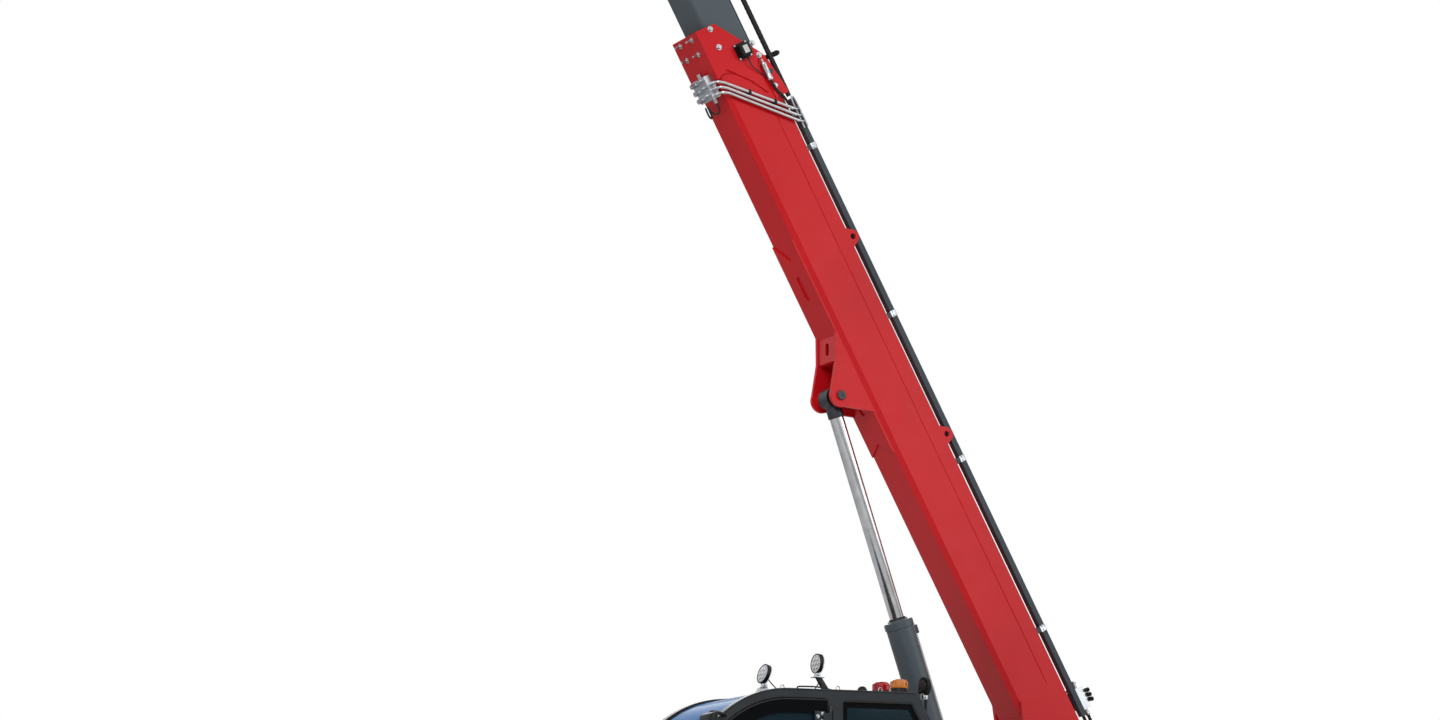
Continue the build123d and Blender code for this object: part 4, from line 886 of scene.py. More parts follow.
    def at_each(self, places: Sequence[Matrix]) -> Blank:
        """Stands a copy at each place and joins them, in the first one's stead.

        Args:
            places: One matrix for each copy.

        Returns:
            The joined copies.
        """
        copies = [self.twin(place) for place in places]
        name = self.thing.name
        bpy.data.objects.remove(self.thing)
        copies[0].thing.name = name
        return all_in_one(copies)


def all_in_one(pieces: Sequence[Blank]) -> Blank:
    """Joins several pieces into the first."""
    return pieces[0].add(*pieces[1:])


def shift(x: float, y: float, z: float) -> Matrix:
    """Gives a plain move."""
    return Matrix.Translation((x, y, z))


def turn(angle: float, axis: str, about: Corner = (0.0, 0.0, 0.0)) -> Matrix:
    """Gives a turn in degrees about an axis through a point.

    Args:
        angle: The angle in degrees.
        axis: "X", "Y" or "Z".
        about: A point on the axis.

    Returns:
        The turn.
    """
    middle = shift(*about)
    return middle @ Matrix.Rotation(math.radians(angle), 4, axis) @ middle.inverted()


def hex_bolts(name: str, places: Sequence[Corner], axis: Corner, flats: float = 0.03) -> Blank:
    """Stands washered hexagon bolt heads on a surface.

    Args:
        name: The piece's name.
        places: Where each head stands on the surface.
        axis: Which way the heads point.
        flats: The head's width in metres.

    Returns:
        All the heads as one piece.
    """
    bolt = Blank.bar(name, (0, 0, -0.002), (0, 0, flats * 0.6), flats * 0.56, 6)
    bolt.ease(flats * 0.06, 1)
    washer = Blank.bar(name, (0, 0, -0.002), (0, 0, flats * 0.12), flats * 0.78, 14)
    washer.ease(flats * 0.03, 1)
    bolt.add(washer)
    return bolt.at_each([shift(*place) @ square_to(axis) for place in places])


def arc_through(
    start: Corner, middle: Corner, end: Corner, steps: int
) -> list[tuple[float, float]]:
    """Walks along the circle through three points of a plane.

    Args:
        start: Where the arc starts.
        middle: A point that it passes.
        end: Where it ends.
        steps: How many straight steps it is drawn in.

    Returns:
        The points from the start to the end.
    """
    (ax, ay), (bx, by), (cx, cy) = start, middle, end
    double = 2 * (ax * (by - cy) + bx * (cy - ay) + cx * (ay - by))
    a2, b2, c2 = ax * ax + ay * ay, bx * bx + by * by, cx * cx + cy * cy
    x = (a2 * (by - cy) + b2 * (cy - ay) + c2 * (ay - by)) / double
    y = (a2 * (cx - bx) + b2 * (ax - cx) + c2 * (bx - ax)) / double
    first, last = math.atan2(ay - y, ax - x), math.atan2(cy - y, cx - x)
    radius = math.hypot(ax - x, ay - y)
    angles = [first + (last - first) * step / steps for step in range(steps + 1)]
    return [(x + radius * math.cos(angle), y + radius * math.sin(angle)) for angle in angles]


def drawn_in(corners: Sequence[tuple[float, float]], inset: float) -> list[tuple[float, float]]:
    """Moves every edge of a convex outline inwards.

    Args:
        corners: The outline's corners in order.
        inset: How far each edge moves.

    Returns:
        The smaller outline's corners.
    """
    ends = list(corners[1:]) + [corners[0]]
    turning = sum(a[0] * b[1] - b[0] * a[1] for a, b in zip(corners, ends))
    lines = []
    for a, b in zip(corners, ends):
        along = Vector((b[0] - a[0], b[1] - a[1])).normalized()
        inward = Vector((-along.y, along.x)) * math.copysign(inset, turning)
        lines.append((Vector(a) + inward, along))
    moved = []
    for (p, u), (q, v) in zip(lines[-1:] + lines[:-1], lines):
        cross = u.x * v.y - u.y * v.x
        gap = q - p
        step = (gap.x * v.y - gap.y * v.x) / cross if abs(cross) > 1e-6 else 0.0
        moved.append(tuple(p + u * step) if step else tuple(q))
    return moved


# ---- Sub-assemblies ---------------------------------------------------------------------
JOINTS = {joint["name"]: joint for joint in frame["joints"]}
SIDES = ((1, "left"), (-1, "right"))
ENDS = ((1, "front"), (-1, "rear"))


def slew_place() -> Matrix:
    """Gives the machine's own frame, whose zero lies on the ground under the slewing axis."""
    x, y, _ = JOINTS["slew"]["pos_m"]
    return shift(x, y, 0.0)


def along_place(pivot: str, slide: str) -> Matrix:
    """Gives a frame with X along a slide and Z square to it, from a pivot.

    Args:
        pivot: The hinge whose place is the zero.
        slide: The slide whose axis is X.

    Returns:
        The frame.
    """
    along = Vector(JOINTS[slide]["axis"]).normalized()
    side = Vector((0.0, 1.0, 0.0))
    place = Matrix((along, side, along.cross(side))).transposed().to_4x4()
    place.translation = Vector(JOINTS[pivot]["pos_m"])
    return place


@dataclass
class SubAssembly:
    """A part of the machine that makes its own pieces and sets them on its bodies."""

    wardrobe: Wardrobe
    body: str = "turret"
    place: Matrix = field(default_factory=slew_place)
    count: int = 0

    def fit(
        self,
        piece: Blank,
        coat: Coat,
        stands_for: Sequence[str] = (),
        body: str | None = None,
        smooth: float = 35.0,
    ) -> bpy.types.Object:
        """Finishes a piece: coats it, smooths it and sets it on its body.

        Args:
            piece: The piece, in this sub-assembly's own frame.
            coat: Its finish.
            stands_for: CAD nodes that it replaces.
            body: The body it rides on, if not the sub-assembly's own.
            smooth: Edges sharper than this many degrees stay sharp.

        Returns:
            The finished object.
        """
        piece.move(self.place)
        piece.hold()
        bpy.ops.object.shade_smooth_by_angle(angle=math.radians(smooth))
        thing = piece.thing
        thing.data.materials.clear()
        thing.data.materials.append(self.wardrobe.get(coat))
        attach(thing, body or self.body)
        if stands_for:
            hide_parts(*stands_for)
        self.count += 1
        return thing

    def bolt(
        self,
        name: str,
        places: Sequence[Corner],
        axis: Corner,
        flats: float,
        coat: Coat = Coat.zinc,
        body: str | None = None,
    ) -> None:
        """Fits washered bolt heads on a surface.

        Args:
            name: The piece's name.
            places: Where each head stands.
            axis: Which way the heads point.
            flats: The heads' width.
            coat: Their finish.
            body: The body they ride on, if not the sub-assembly's own.
        """
        self.fit(hex_bolts(name, places, axis, flats), coat, body=body)

    def build(self) -> None:
        """Makes every piece of the sub-assembly."""
        raise NotImplementedError


# ---- Boom -------------------------------------------------------------------------------
@dataclass
class BoomBase(SubAssembly):
    """The base tube's fastenings, seams, pipes, clamps, hoses and sensor trim."""

    body: str = "boom"
    place: Matrix = field(default_factory=lambda: along_place("boom_lift", "boom_2_slide"))
    half: float = 0.165
    collar_half: float = 0.177
    low: float = 0.072
    top: float = 0.522
    front: float = 6.045
    lug_along: float = 3.186
    lug_drop: float = 0.140
    lug_half: float = 0.155
    sensor_along: float = 5.779
    sensor_up: float = 0.362
    bead_radius: float = 0.0045
    brackets: tuple[float, ...] = (0.916, 2.333, 3.537, 4.922)
    pipe_feet: tuple[float, ...] = (5.622, 5.579, 5.536)
    pipe_heads: tuple[float, ...] = (5.239, 5.188, 5.138)

    def studs(self) -> None:
        """Stands the plated studs and nuts of the wear pads round the collar."""
        under = [(t, y, self.low - 0.012) for t in (5.89, 6.005) for y in (-0.085, 0.085)]
        nuts = hex_bolts("collar_pad_nuts", under, (0, 0, -1), 0.027)
        stud = Blank.bar("stud", (0, 0, 0), (0, 0, -0.056), 0.009, 12).ease(0.0015, 1)
        nuts.add(stud.at_each([shift(*place) for place in under]))
        self.fit(nuts, Coat.zinc)
        for side, word in SIDES:
            y = side * self.collar_half
            places = [(6.020, y, 0.186), (5.873, y, 0.187), (5.80, y, 0.47), (5.70, y, 0.48)]
            self.bolt(f"collar_side_bolts_{word}", places, (0, side, 0), 0.03)

    def seams(self) -> None:
        """Lays the weld beads of the collar, the guard, the doubler and the lugs."""
        lines = []
        low, top = self.low, self.top
        for side in (1, -1):
            y, inside = side * (self.half + 0.002), side * (self.lug_half - 0.037)
            lines.append([
                (self.front - 0.384, y, low - 0.006), (self.front - 0.343, y, low + 0.097),
                (self.front - 0.502, y, low + 0.262), (self.front - 0.625, y, top - 0.106),
                (self.front - 0.377, y, top - 0.078), (self.front - 0.345, y, top - 0.014),
            ])
            for start in (-0.230, 0.454):
                x = self.lug_along + start
                lines.append([
                    (x, inside, low + 0.001), (x * 0.5 + self.lug_along * 0.5, inside, low),
                    (self.lug_along, inside, low),
                ])
        beads = [Blank.tube("boom_weld_beads", line, self.bead_radius, 1) for line in lines]
        self.fit(all_in_one(beads), Coat.red_paint, smooth=60.0)

    def bend_lines(self) -> None:
        """Raises the shallow pressed line along each web, where the plate is folded."""
        ridge = Blank.block("web_bend_lines", (0.55, -0.001, -0.004), (5.25, 0.003, 0.004))
        ridge.ease(0.0015, 2)
        places = [shift(0, self.half, 0.400), shift(0, -self.half - 0.002, 0.400)]
        self.fit(ridge.at_each(places), Coat.red_paint)

    def pipe_clamps(self) -> None:
        """Ties the sensor's cable to the first rising pipe with two black straps."""
        ties = []
        for share in (0.37, 0.745):
            up = 0.086 + 0.452 * share
            along = self.pipe_heads[0] * share + self.pipe_feet[0] * (1 - share)
            tie = Blank.block("cable_ties", (along - 0.017, self.half, up - 0.015),
                              (along + 0.020, self.half + 0.038, up + 0.013))
            ties.append(tie.ease(0.005, 2))
        self.fit(all_in_one(ties), Coat.polyamide)

    def sensor(self) -> None:
        """Gives the load sensor its base screws, blank plate, gland and clipped cable."""
        t, n = self.sensor_along, self.sensor_up
        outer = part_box("boom_sensor")[1][1]
        corners = [(t + i * 0.052, self.collar_half + 0.008, n + j * 0.052)
                   for i in (-1, 1) for j in (-1, 1)]
        self.bolt("sensor_screws", corners, (0, 1, 0), 0.011)
        label = Blank.block("sensor_blank_plate", (t - 0.03, outer - 0.001, n - 0.022),
                            (t + 0.03, outer + 0.001, n + 0.022)).ease(0.0008, 1)
        self.fit(label, Coat.vinyl)
        gland = Blank.turned(
            "sensor_cable_gland",
            ((0.0, 0), (0.011, 0), (0.011, 0.012), (0.008, 0.014), (0.007, 0.03), (0.0, 0.03)),
            (t - 0.046, 0.208, n), (-1, 0, 0), 16,
        )
        self.fit(gland, Coat.polyamide)
        cable = Blank.tube("sensor_cable", [
            (t - 0.07, 0.208, n), (t - 0.12, 0.208, n - 0.005), (t - 0.17, 0.192, n + 0.03),
            (t - 0.26, 0.183, n + 0.10), (t - 0.40, 0.181, n + 0.135),
            (t - 0.56, 0.176, n + 0.15), (t - 0.66, 0.168, n + 0.17), (t - 0.74, 0.15, n + 0.215),
        ], 0.0042, 2)
        self.fit(cable, Coat.hose)

    def collar_hoses(self) -> None:
        """Couples the manifold: unions, end plugs and two short hose loops."""
        low = self.low - 0.012
        unions = []
        for start in self.pipe_feet:
            unions.append(Blank.bar("manifold_unions", (start + 0.031, 0.118, low - 0.030),
                                    (start + 0.031, 0.150, low - 0.030), 0.017, 6))
        for along in (5.546, 5.606, 5.666):
            unions.append(Blank.bar("cartridge", (along + 0.03, -0.015, low - 0.07),
                                    (along + 0.03, -0.015, low - 0.086), 0.022, 6))
            unions.append(Blank.bar("plug", (along + 0.042, 0.06, low - 0.07),
                                    (along + 0.042, 0.06, low - 0.082), 0.018, 6))
        for union in unions:
            union.ease(0.002, 1)
        self.fit(all_in_one(unions), Coat.zinc)
        hose = Blank.tube("manifold_loop", [
            (5.515, 0.07, low - 0.03), (5.47, 0.07, low - 0.03), (5.435, 0.07, low - 0.045),
            (5.44, 0.05, low - 0.075), (5.475, 0.03, low - 0.085), (5.515, 0.02, low - 0.08),
        ], 0.007, 3)
        second = Blank.tube("hose", [
            (5.515, -0.06, low - 0.03), (5.45, -0.06, low - 0.03), (5.42, -0.05, low - 0.05),
            (5.45, -0.03, low - 0.08), (5.515, -0.02, low - 0.08),
        ], 0.007, 3)
        self.fit(hose.add(second), Coat.hose)

    def guard_cylinder(self) -> None:
        """Dresses the plated damper by the guard: sleeve, rod, hose, and a bolt and a plug."""
        t0, t1 = self.front - 0.545, self.front - 0.415
        y, n = 0.193, self.top - 0.052
        body = Blank.turned(
            "damper_sleeve",
            ((0.0, -0.004), (0.020, -0.004), (0.022, 0.0), (0.022, 0.016), (0.0195, 0.02),
             (0.0195, 0.108), (0.022, 0.112), (0.022, 0.128), (0.019, 0.134), (0.0, 0.134)),
            (t0, y, n), (1, 0, 0), 24,
        )
        self.fit(body, Coat.zinc)
        rod = Blank.bar("damper_rod", (t1 - 0.01, y, n), (t1 + 0.035, y, n), 0.0095, 16)
        rod.ease(0.002, 1)
        self.fit(rod, Coat.chrome)
        hose = Blank.tube("damper_hose", [
            (t0 + 0.006, y, n), (t0 - 0.05, y, n), (t0 - 0.10, y - 0.01, n + 0.02),
            (t0 - 0.15, 0.172, n + 0.058), (t0 - 0.21, 0.160, n + 0.072),
        ], 0.010, 3)
        self.fit(hose, Coat.hose)
        places = [(self.front - 0.60, self.half + 0.008, self.top - 0.02)]
        self.bolt("guard_bolt", places, (0, 1, 0), 0.024)
        disc = Blank.bar("guard_plug", (self.front - 0.49, self.half + 0.007, self.top - 0.005),
                         (self.front - 0.49, self.half + 0.013, self.top - 0.005), 0.02, 20)
        disc.ease(0.002, 2)
        self.fit(disc, Coat.phosphate)

    def tube_lamp(self) -> None:
        """Replaces the plain lamp by a ribbed black tube on a plated clamp."""
        t, y = self.front - 0.338 - 0.045, 0.084
        foot = self.top + 0.012
        rings = [(0.0, 0.0), (0.019, 0.0), (0.019, 0.012)]
        for index in range(9):
            at = 0.02 + index * 0.0155
            rings += [(0.0165, at), (0.0205, at + 0.003), (0.0205, at + 0.009),
                      (0.0165, at + 0.012)]
        rings += [(0.014, 0.168), (0.0, 0.168)]
        lamp = Blank.turned("tube_lamp", rings, (t, y, foot + 0.014), (0, 0, 1), 24)
        self.fit(lamp, Coat.lamp_black, stands_for=("boom_lamp",), smooth=50.0)
        clamp = Blank.block("tube_lamp_clamp", (t - 0.024, y - 0.024, foot - 0.001),
                            (t + 0.024, y + 0.024, foot + 0.018))
        clamp.inset(lambda c, n: n.z > 0.9, 0.006, 0.012).ease(0.003, 2)
        self.fit(clamp, Coat.zinc)

    def tray_fittings(self) -> None:
        """Fills the hose tray: hoses, plated clips at the brackets and the front loop."""
        floor, inner = self.top + 0.054 + 0.006, (0.1125, 0.1235, 0.1345)
        hoses = [Blank.tube("tray_hoses", [(0.36, y, floor + 0.02), (0.5, y, floor + 0.007),
                                           (2.9, y, floor + 0.007), (4.93, y, floor + 0.007)],
                            0.0052, 2) for y in inner]
        self.fit(all_in_one(hoses), Coat.hose)
        clip = Blank.block("tray_clips", (-0.024, 0.146, self.top + 0.05),
                           (0.024, 0.1515, self.top + 0.102))
        clip.inset(lambda c, n: n.y > 0.9, 0.007, -0.002).ease(0.0012, 1)
        self.fit(clip.at_each([shift(t, 0, 0) for t in self.brackets]), Coat.zinc)
        bolts = [(t + 0.013 * s, 0.149, self.top + 0.076) for t in self.brackets for s in (-1, 1)]
        self.bolt("tray_clip_bolts", bolts, (0, 1, 0), 0.013)
        up = self.top
        loop = Blank.tube("tray_end_loop", [
            (5.07, 0.156, up + 0.063), (5.18, 0.156, up + 0.063), (5.30, 0.156, up + 0.063),
            (5.325, 0.156, up + 0.080), (5.30, 0.156, up + 0.096), (5.18, 0.156, up + 0.096),
            (5.07, 0.156, up + 0.096),
        ], 0.007, 3)
        line = Blank.tube("line", [(2.45, self.half - 0.022, up + 0.011),
                                   (3.9, self.half - 0.022, up + 0.011),
                                   (5.2, self.half - 0.022, up + 0.011)], 0.006, 2)
        self.fit(loop.add(line), Coat.zinc)

    def valve_block(self) -> None:
        """Couples the lower valve block: unions, solenoids and two hoses to the tail."""
        deck = self.top + 0.054 + 0.044
        coils, unions = [], []
        for along in (0.262, 0.300, 0.338):
            coil = Blank.turned(
                "valve_solenoids",
                ((0.0, 0), (0.016, 0), (0.017, 0.003), (0.017, 0.04), (0.014, 0.044),
                 (0.006, 0.046), (0.006, 0.056), (0.0, 0.056)),
                (along, 0.13, deck + 0.09), (0, 1, 0), 20,
            )
            coils.append(coil)
        self.fit(all_in_one(coils), Coat.lamp_black)
        for y in (0.040, 0.105):
            for face, way in ((0.44, 1), (0.165, -1)):
                union = Blank.bar("valve_unions", (face - way * 0.02, y, deck + 0.038),
                                  (face + way * 0.006, y, deck + 0.038), 0.022, 6)
                unions.append(union)
                union.ease(0.002, 1)
        self.fit(all_in_one(unions), Coat.zinc)
        hoses = [Blank.tube("tail_hoses", [
            (0.17, y, deck + 0.038), (0.08, y, deck + 0.038), (-0.06, y, deck + 0.01),
            (-0.18, y, self.top - 0.02), (-0.26, y, 0.30),
        ], 0.013, 3) for y in (0.040, 0.105)]
        self.fit(all_in_one(hoses), Coat.hose)

    def lug_pins(self) -> None:
        """Locks the lift pin in the lugs: caps, keeper plates and bolts."""
        t, n, half = self.lug_along, -self.lug_drop, self.lug_half
        for side, word in SIDES:
            cap = Blank.turned(
                f"lift_pin_cap_{word}",
                ((0.0, 0.0), (0.036, 0.0), (0.036, 0.006), (0.033, 0.010), (0.012, 0.010),
                 (0.010, 0.006), (0.0, 0.006)),
                (t, side * (half - 0.002), n), (0, side, 0), 32,
            )
            self.fit(cap, Coat.phosphate)
            keeper = Blank.block(
                f"lift_pin_keeper_{word}", (t - 0.014, side * half - 0.004, n + 0.03),
                (t + 0.014, side * half + 0.004, n + 0.112),
            ).ease(0.003, 2).move(shift(0, -side * 0.026, 0))
            self.fit(keeper, Coat.zinc)
            y = side * (half - 0.022)
            places = [(t, y, n + 0.07), (t, y, n + 0.098)]
            self.bolt(f"lift_keeper_bolts_{word}", places, (0, side, 0), 0.018)

    def build(self) -> None:
        """Makes every piece of the base tube's dress."""
        self.studs()
        self.seams()
        self.bend_lines()
        self.pipe_clamps()
        self.sensor()
        self.collar_hoses()
        self.guard_cylinder()
        self.tube_lamp()
        self.tray_fittings()
        self.valve_block()
        self.lug_pins()


@dataclass
class BoomSections(SubAssembly):
    """Collar bolts, and the hose carrier's links and hoses, on the sliding sections."""

    body: str = "boom_2"
    place: Matrix = field(default_factory=lambda: along_place("boom_lift", "boom_2_slide"))
    middle: float = 0.297
    sections: tuple[tuple[str, float, float, float, float], ...] = (
        ("boom_2", 6.745, 0.141, 0.162, 0.26),
        ("boom_3", 7.345, 0.118, 0.139, 0.20),
    )

    def collars(self) -> None:
        """Bolts the wear pads to the two sections' collars."""
        for body, front, half_y, half_n, length in self.sections:
            spots = []
            for along in (front - length * 0.28, front - length * 0.72):
                for side in (1, -1):
                    spots += [((along, side * (half_y + 0.012), self.middle + up), (0, side, 0))
                              for up in (-half_n * 0.62, half_n * 0.62)]
                    spots.append(((along, side * half_y * 0.55, self.middle - half_n - 0.012),
                                  (0, 0, -1)))
            heads = [hex_bolts(f"{body}_collar_bolts", [spot], axis, 0.024)
                     for spot, axis in spots]
            self.fit(all_in_one(heads), Coat.zinc, body=body)

    def carrier(self) -> None:
        """Shows the hose carrier's links, and the hoses' couplings at the section's head."""
        link = Blank.block("carrier_links", (0.0, 0.1075, 0.5885), (0.034, 0.1365, 0.6185))
        link.inset(lambda c, n: abs(n.y) > 0.9, 0.006, -0.0025)
        link.inset(lambda c, n: n.z > 0.9 and c.z > 0.6, 0.006, -0.0025).ease(0.0015, 1)
        places = [shift(5.36 + index * 0.040, 0, 0) for index in range(33)]
        self.fit(link.at_each(places), Coat.polyamide)
        couplings = [Blank.bar("carrier_couplings", (6.66, y, 0.5), (6.66, y, 0.585), 0.011, 6)
                     for y in (0.055, 0.085)]
        for coupling in couplings:
            coupling.ease(0.0015, 1)
        foot = Blank.block("foot", (6.635, 0.035, 0.480), (6.69, 0.105, 0.503)).ease(0.003, 1)
        self.fit(all_in_one([*couplings, foot]), Coat.zinc)
        hoses = [Blank.tube("carrier_hoses", [
            (6.655, 0.122, 0.603), (6.70, 0.122, 0.606), (6.715, 0.115, 0.622),
            (6.70, y + 0.01, 0.628), (6.665, y, 0.615), (6.66, y, 0.58),
        ], 0.007, 2) for y in (0.055, 0.085)]
        self.fit(all_in_one(hoses), Coat.hose)

    def build(self) -> None:
        """Makes the collars' and the carrier's pieces."""
        self.collars()
        self.carrier()


@dataclass
class LiftCylinder(SubAssembly):
    """The lift cylinder's gland, port block, pipe, rod and dark rod eye."""

    body: str = "barrel"
    place: Matrix = field(default_factory=lambda: along_place("barrel_swing", "rod_slide"))
    rod_body: str = "rod"
    barrel_radius: float = 0.104
    barrel_end: float = 1.990
    rod_radius: float = 0.054
    rod_foot: float = 1.370
    length: float = 3.700
    eye_radius: float = 0.075
    eye_half: float = 0.058

    def rod(self) -> None:
        """Replaces the plain rod by a chromed shaft with a phosphated eye."""
        eye = Blank.turned(
            "lift_rod_eye",
            ((0.0415, -self.eye_half), (self.eye_radius - 0.004, -self.eye_half),
             (self.eye_radius, -self.eye_half + 0.004), (self.eye_radius, self.eye_half - 0.004),
             (self.eye_radius - 0.004, self.eye_half), (0.0415, self.eye_half)),
            (self.length, 0, 0), (0, 1, 0), 48,
        )
        sleeve = Blank.turned(
            "sleeve",
            ((0.0, 0.0), (self.rod_radius + 0.003, 0.0), (self.rod_radius + 0.006, 0.006),
             (self.rod_radius + 0.006, 0.05), (self.rod_radius - 0.004, 0.105), (0.0, 0.105)),
            (self.length - 0.150, 0, 0), (1, 0, 0), 40,
        )
        self.fit(eye.add(sleeve), Coat.phosphate, stands_for=("lift_rod",), body=self.rod_body)
        shaft = Blank.turned(
            "lift_rod_shaft",
            ((0.0, 0.0), (self.rod_radius - 0.004, 0.0), (self.rod_radius, 0.006),
             (self.rod_radius, self.length - 0.148 - self.rod_foot),
             (0.0, self.length - 0.148 - self.rod_foot)),
            (self.rod_foot, 0, 0), (1, 0, 0), 48,
        )
        self.fit(shaft, Coat.chrome, stands_for=("lift_rod",), body=self.rod_body)

    def gland(self) -> None:
        """Closes the barrel with its gland nut and the wiper ring."""
        r = self.barrel_radius
        nut = Blank.turned(
            "barrel_gland",
            ((self.rod_radius + 0.001, -0.004), (r - 0.012, -0.004), (r + 0.006, 0.004),
             (r + 0.006, 0.048), (r - 0.002, 0.056), (r - 0.026, 0.058),
             (r - 0.030, 0.066), (self.rod_radius + 0.001, 0.066)),
            (self.barrel_end - 0.056, 0, 0), (1, 0, 0), 48,
        )
        self.fit(nut, Coat.slate_paint)
        wiper = Blank.turned(
            "rod_wiper",
            ((self.rod_radius + 0.0006, 0.0), (self.rod_radius + 0.012, 0.0),
             (self.rod_radius + 0.009, 0.010), (self.rod_radius + 0.0006, 0.013)),
            (self.barrel_end + 0.0095, 0, 0), (1, 0, 0), 40,
        )
        self.fit(wiper, Coat.gasket)

    def ports(self) -> None:
        """Runs the annulus port's pipe down the barrel to the load-holding valve."""
        r = self.barrel_radius
        port = Blank.block("barrel_ports", (1.86, -0.03, r - 0.012), (1.925, 0.03, r + 0.032))
        port.ease(0.004, 2)
        valve = Blank.block("valve", (0.20, -0.045, r - 0.014), (0.36, 0.045, r + 0.07))
        valve.inset(lambda c, n: n.z > 0.9, 0.012, 0.006).ease(0.004, 2)
        clip = Blank.block("clip", (1.10, -0.022, r - 0.008), (1.135, 0.022, r + 0.034))
        clip.ease(0.003, 1)
        self.fit(port.add(valve, clip), Coat.phosphate)
        pipe = Blank.tube("barrel_pipe", [
            (1.872, 0, r + 0.02), (1.80, 0, r + 0.02), (1.2, 0, r + 0.02), (0.6, 0, r + 0.02),
            (0.42, 0, r + 0.02), (0.355, 0, r + 0.03),
        ], 0.0095, 3)
        self.fit(pipe, Coat.zinc)
        self.bolt("barrel_bleed_plug", [(1.93, 0.05, r * 0.86)], (0, 0.45, 0.9), 0.016)

    def build(self) -> None:
        """Makes the cylinder's pieces."""
        self.rod()
        self.gland()
        self.ports()


# ---- Cab --------------------------------------------------------------------------------
@dataclass
class Cab(SubAssembly):
    """The cab's panes, seals, door trim, roof lamps, beacons and mirrors."""

    rear: float = 0.035
    right: float = 0.300
    left: float = 1.210
    floor: float = 1.400
    roof_rear: float = 3.062
    roof_front: float = 3.030
    pane_depth: float = 0.014
    pane: float = 0.006
    door_rear: float = 0.866
    door_inset: float = 0.067
    window_inset: float = 0.070
    lamp_radius: float = 0.070
    shoulder: float = 0.158
    brow: float = 1.180
    crown: tuple[float, float] = (1.624, 2.886)
    chin: tuple[float, float] = (1.965, 2.407)

    def profile(self, inset: float, y: float) -> list[Corner]:
        """Gives the cab's side outline, drawn in and set at a place across.

        Args:
            inset: How far each edge moves in.
            y: Where the outline stands across the machine.

        Returns:
            Its corners.
        """
        outline = [(self.rear, self.floor), (self.rear, 2.861), (self.shoulder, self.roof_rear)]
        outline += arc_through((self.brow, self.roof_front), self.crown, self.chin, 20)
        outline += [(1.970, 2.100), (1.890, 1.560), (1.830, self.floor)]
        return [(x, y, z) for x, z in drawn_in(outline, inset)]

    def roof(self, x: float) -> float:
        """Gives the roof's height over a place along the cab's flat roof."""
        share = (x - self.shoulder) / (self.brow - self.shoulder)
        return self.roof_rear + (self.roof_front - self.roof_rear) * share

    def windscreen(self) -> None:
        """Bends the one-piece windscreen over the brow, with its black edge and wiper."""
        outline = arc_through((self.brow, self.roof_front), self.crown, self.chin, 24)
        outline += [(1.970, 2.100), (1.905, 1.740), (1.70, 1.740), (1.18, 2.6)]
        depths = (self.pane_depth, self.pane_depth + self.pane, self.pane_depth - 0.002)
        outer, inner, over = (drawn_in(outline, depth)[1:26] for depth in depths)
        for line in (outer, inner, over):
            line.append((line[-1][0] - 0.060, 1.752))
        low, high = self.right + 0.062, self.left - 0.062
        strip = [(x, low, z) for x, z in outer] + [(x, low, z) for x, z in reversed(inner)]
        screen = Blank.plate("windscreen", strip, (0, high - low, 0))
        self.fit(screen, Coat.glass, stands_for=("cab_glazing",), smooth=40.0)
        band = [(x, low, z) for x, z in over] + [(x, low, z) for x, z in reversed(outer)]
        side = Blank.plate("windscreen_black_edge", band, (0, 0.045, 0))
        side.add(side.twin(shift(0, high - low - 0.045, 0)))
        foot = Blank.block("foot", (1.86, low, 1.755), (1.905, high, 1.80))
        foot.cut((1.868, 0, 1.755), (-0.985, 0, 0.17))
        side.add(foot)
        self.fit(side, Coat.frit, smooth=40.0)
        wiper = Blank.tube("windscreen_wiper", [
            (1.895, 0.76, 1.73), (1.925, 0.76, 1.80), (1.968, 0.70, 2.05), (1.973, 0.62, 2.30),
        ], 0.008, 2)
        blade = Blank.block("blade", (1.9665, 0.615, 2.02), (1.974, 0.632, 2.42)).ease(0.003, 1)
        wiper.add(blade)
        self.fit(wiper, Coat.lamp_black)

    def side_panes(self) -> None:
        """Glazes both sides and the rear, each pane with its seal, and the side panes with a
        black edge.
        """
        y = self.left - self.pane_depth
        sill = self.floor + 0.620
        quarter = [((0, 0, sill), (0, 0, 1)), ((self.door_rear - 0.100, 0, 0), (-1, 0, 0))]
        right = [((0, 0, sill), (0, 0, 1)), ((self.rear + 1.480, 0, 0), (-1, 0, 0))]
        for word, place, cuts, out in (("left_quarter", y, quarter, 1),
                                       ("right_side", self.right + self.pane_depth, right, -1)):
            face = self.profile(self.window_inset, place)
            pane = Blank.plate(f"{word}_pane", face, (0, -out * self.pane, 0))
            for point, normal in cuts:
                pane.cut(point, normal)
            self.fit(pane, Coat.dark_glass, stands_for=("cab_glazing",))
            seal = Blank.ring(f"{word}_seal", face, 0.012, (0, out * 0.0115, 0), cuts)
            self.fit(seal, Coat.gasket)
            edge = Blank.ring(f"{word}_black_edge", face, 0.05, (0, out * 0.0012, 0), cuts)
            self.fit(edge, Coat.frit)
        x = self.rear + self.pane_depth
        low, high = (self.right + 0.09, self.floor + 0.70), (self.left - 0.09, 2.791)
        corners = [(x, low[0], low[1]), (x, high[0], low[1]), (x, high[0], high[1]),
                   (x, low[0], high[1])]
        pane = Blank.plate("rear_pane", corners, (self.pane, 0, 0))
        self.fit(pane, Coat.dark_glass, stands_for=("cab_glazing",))
        self.fit(Blank.ring("rear_pane_seal", corners, 0.014, (-0.011, 0, 0)), Coat.gasket)

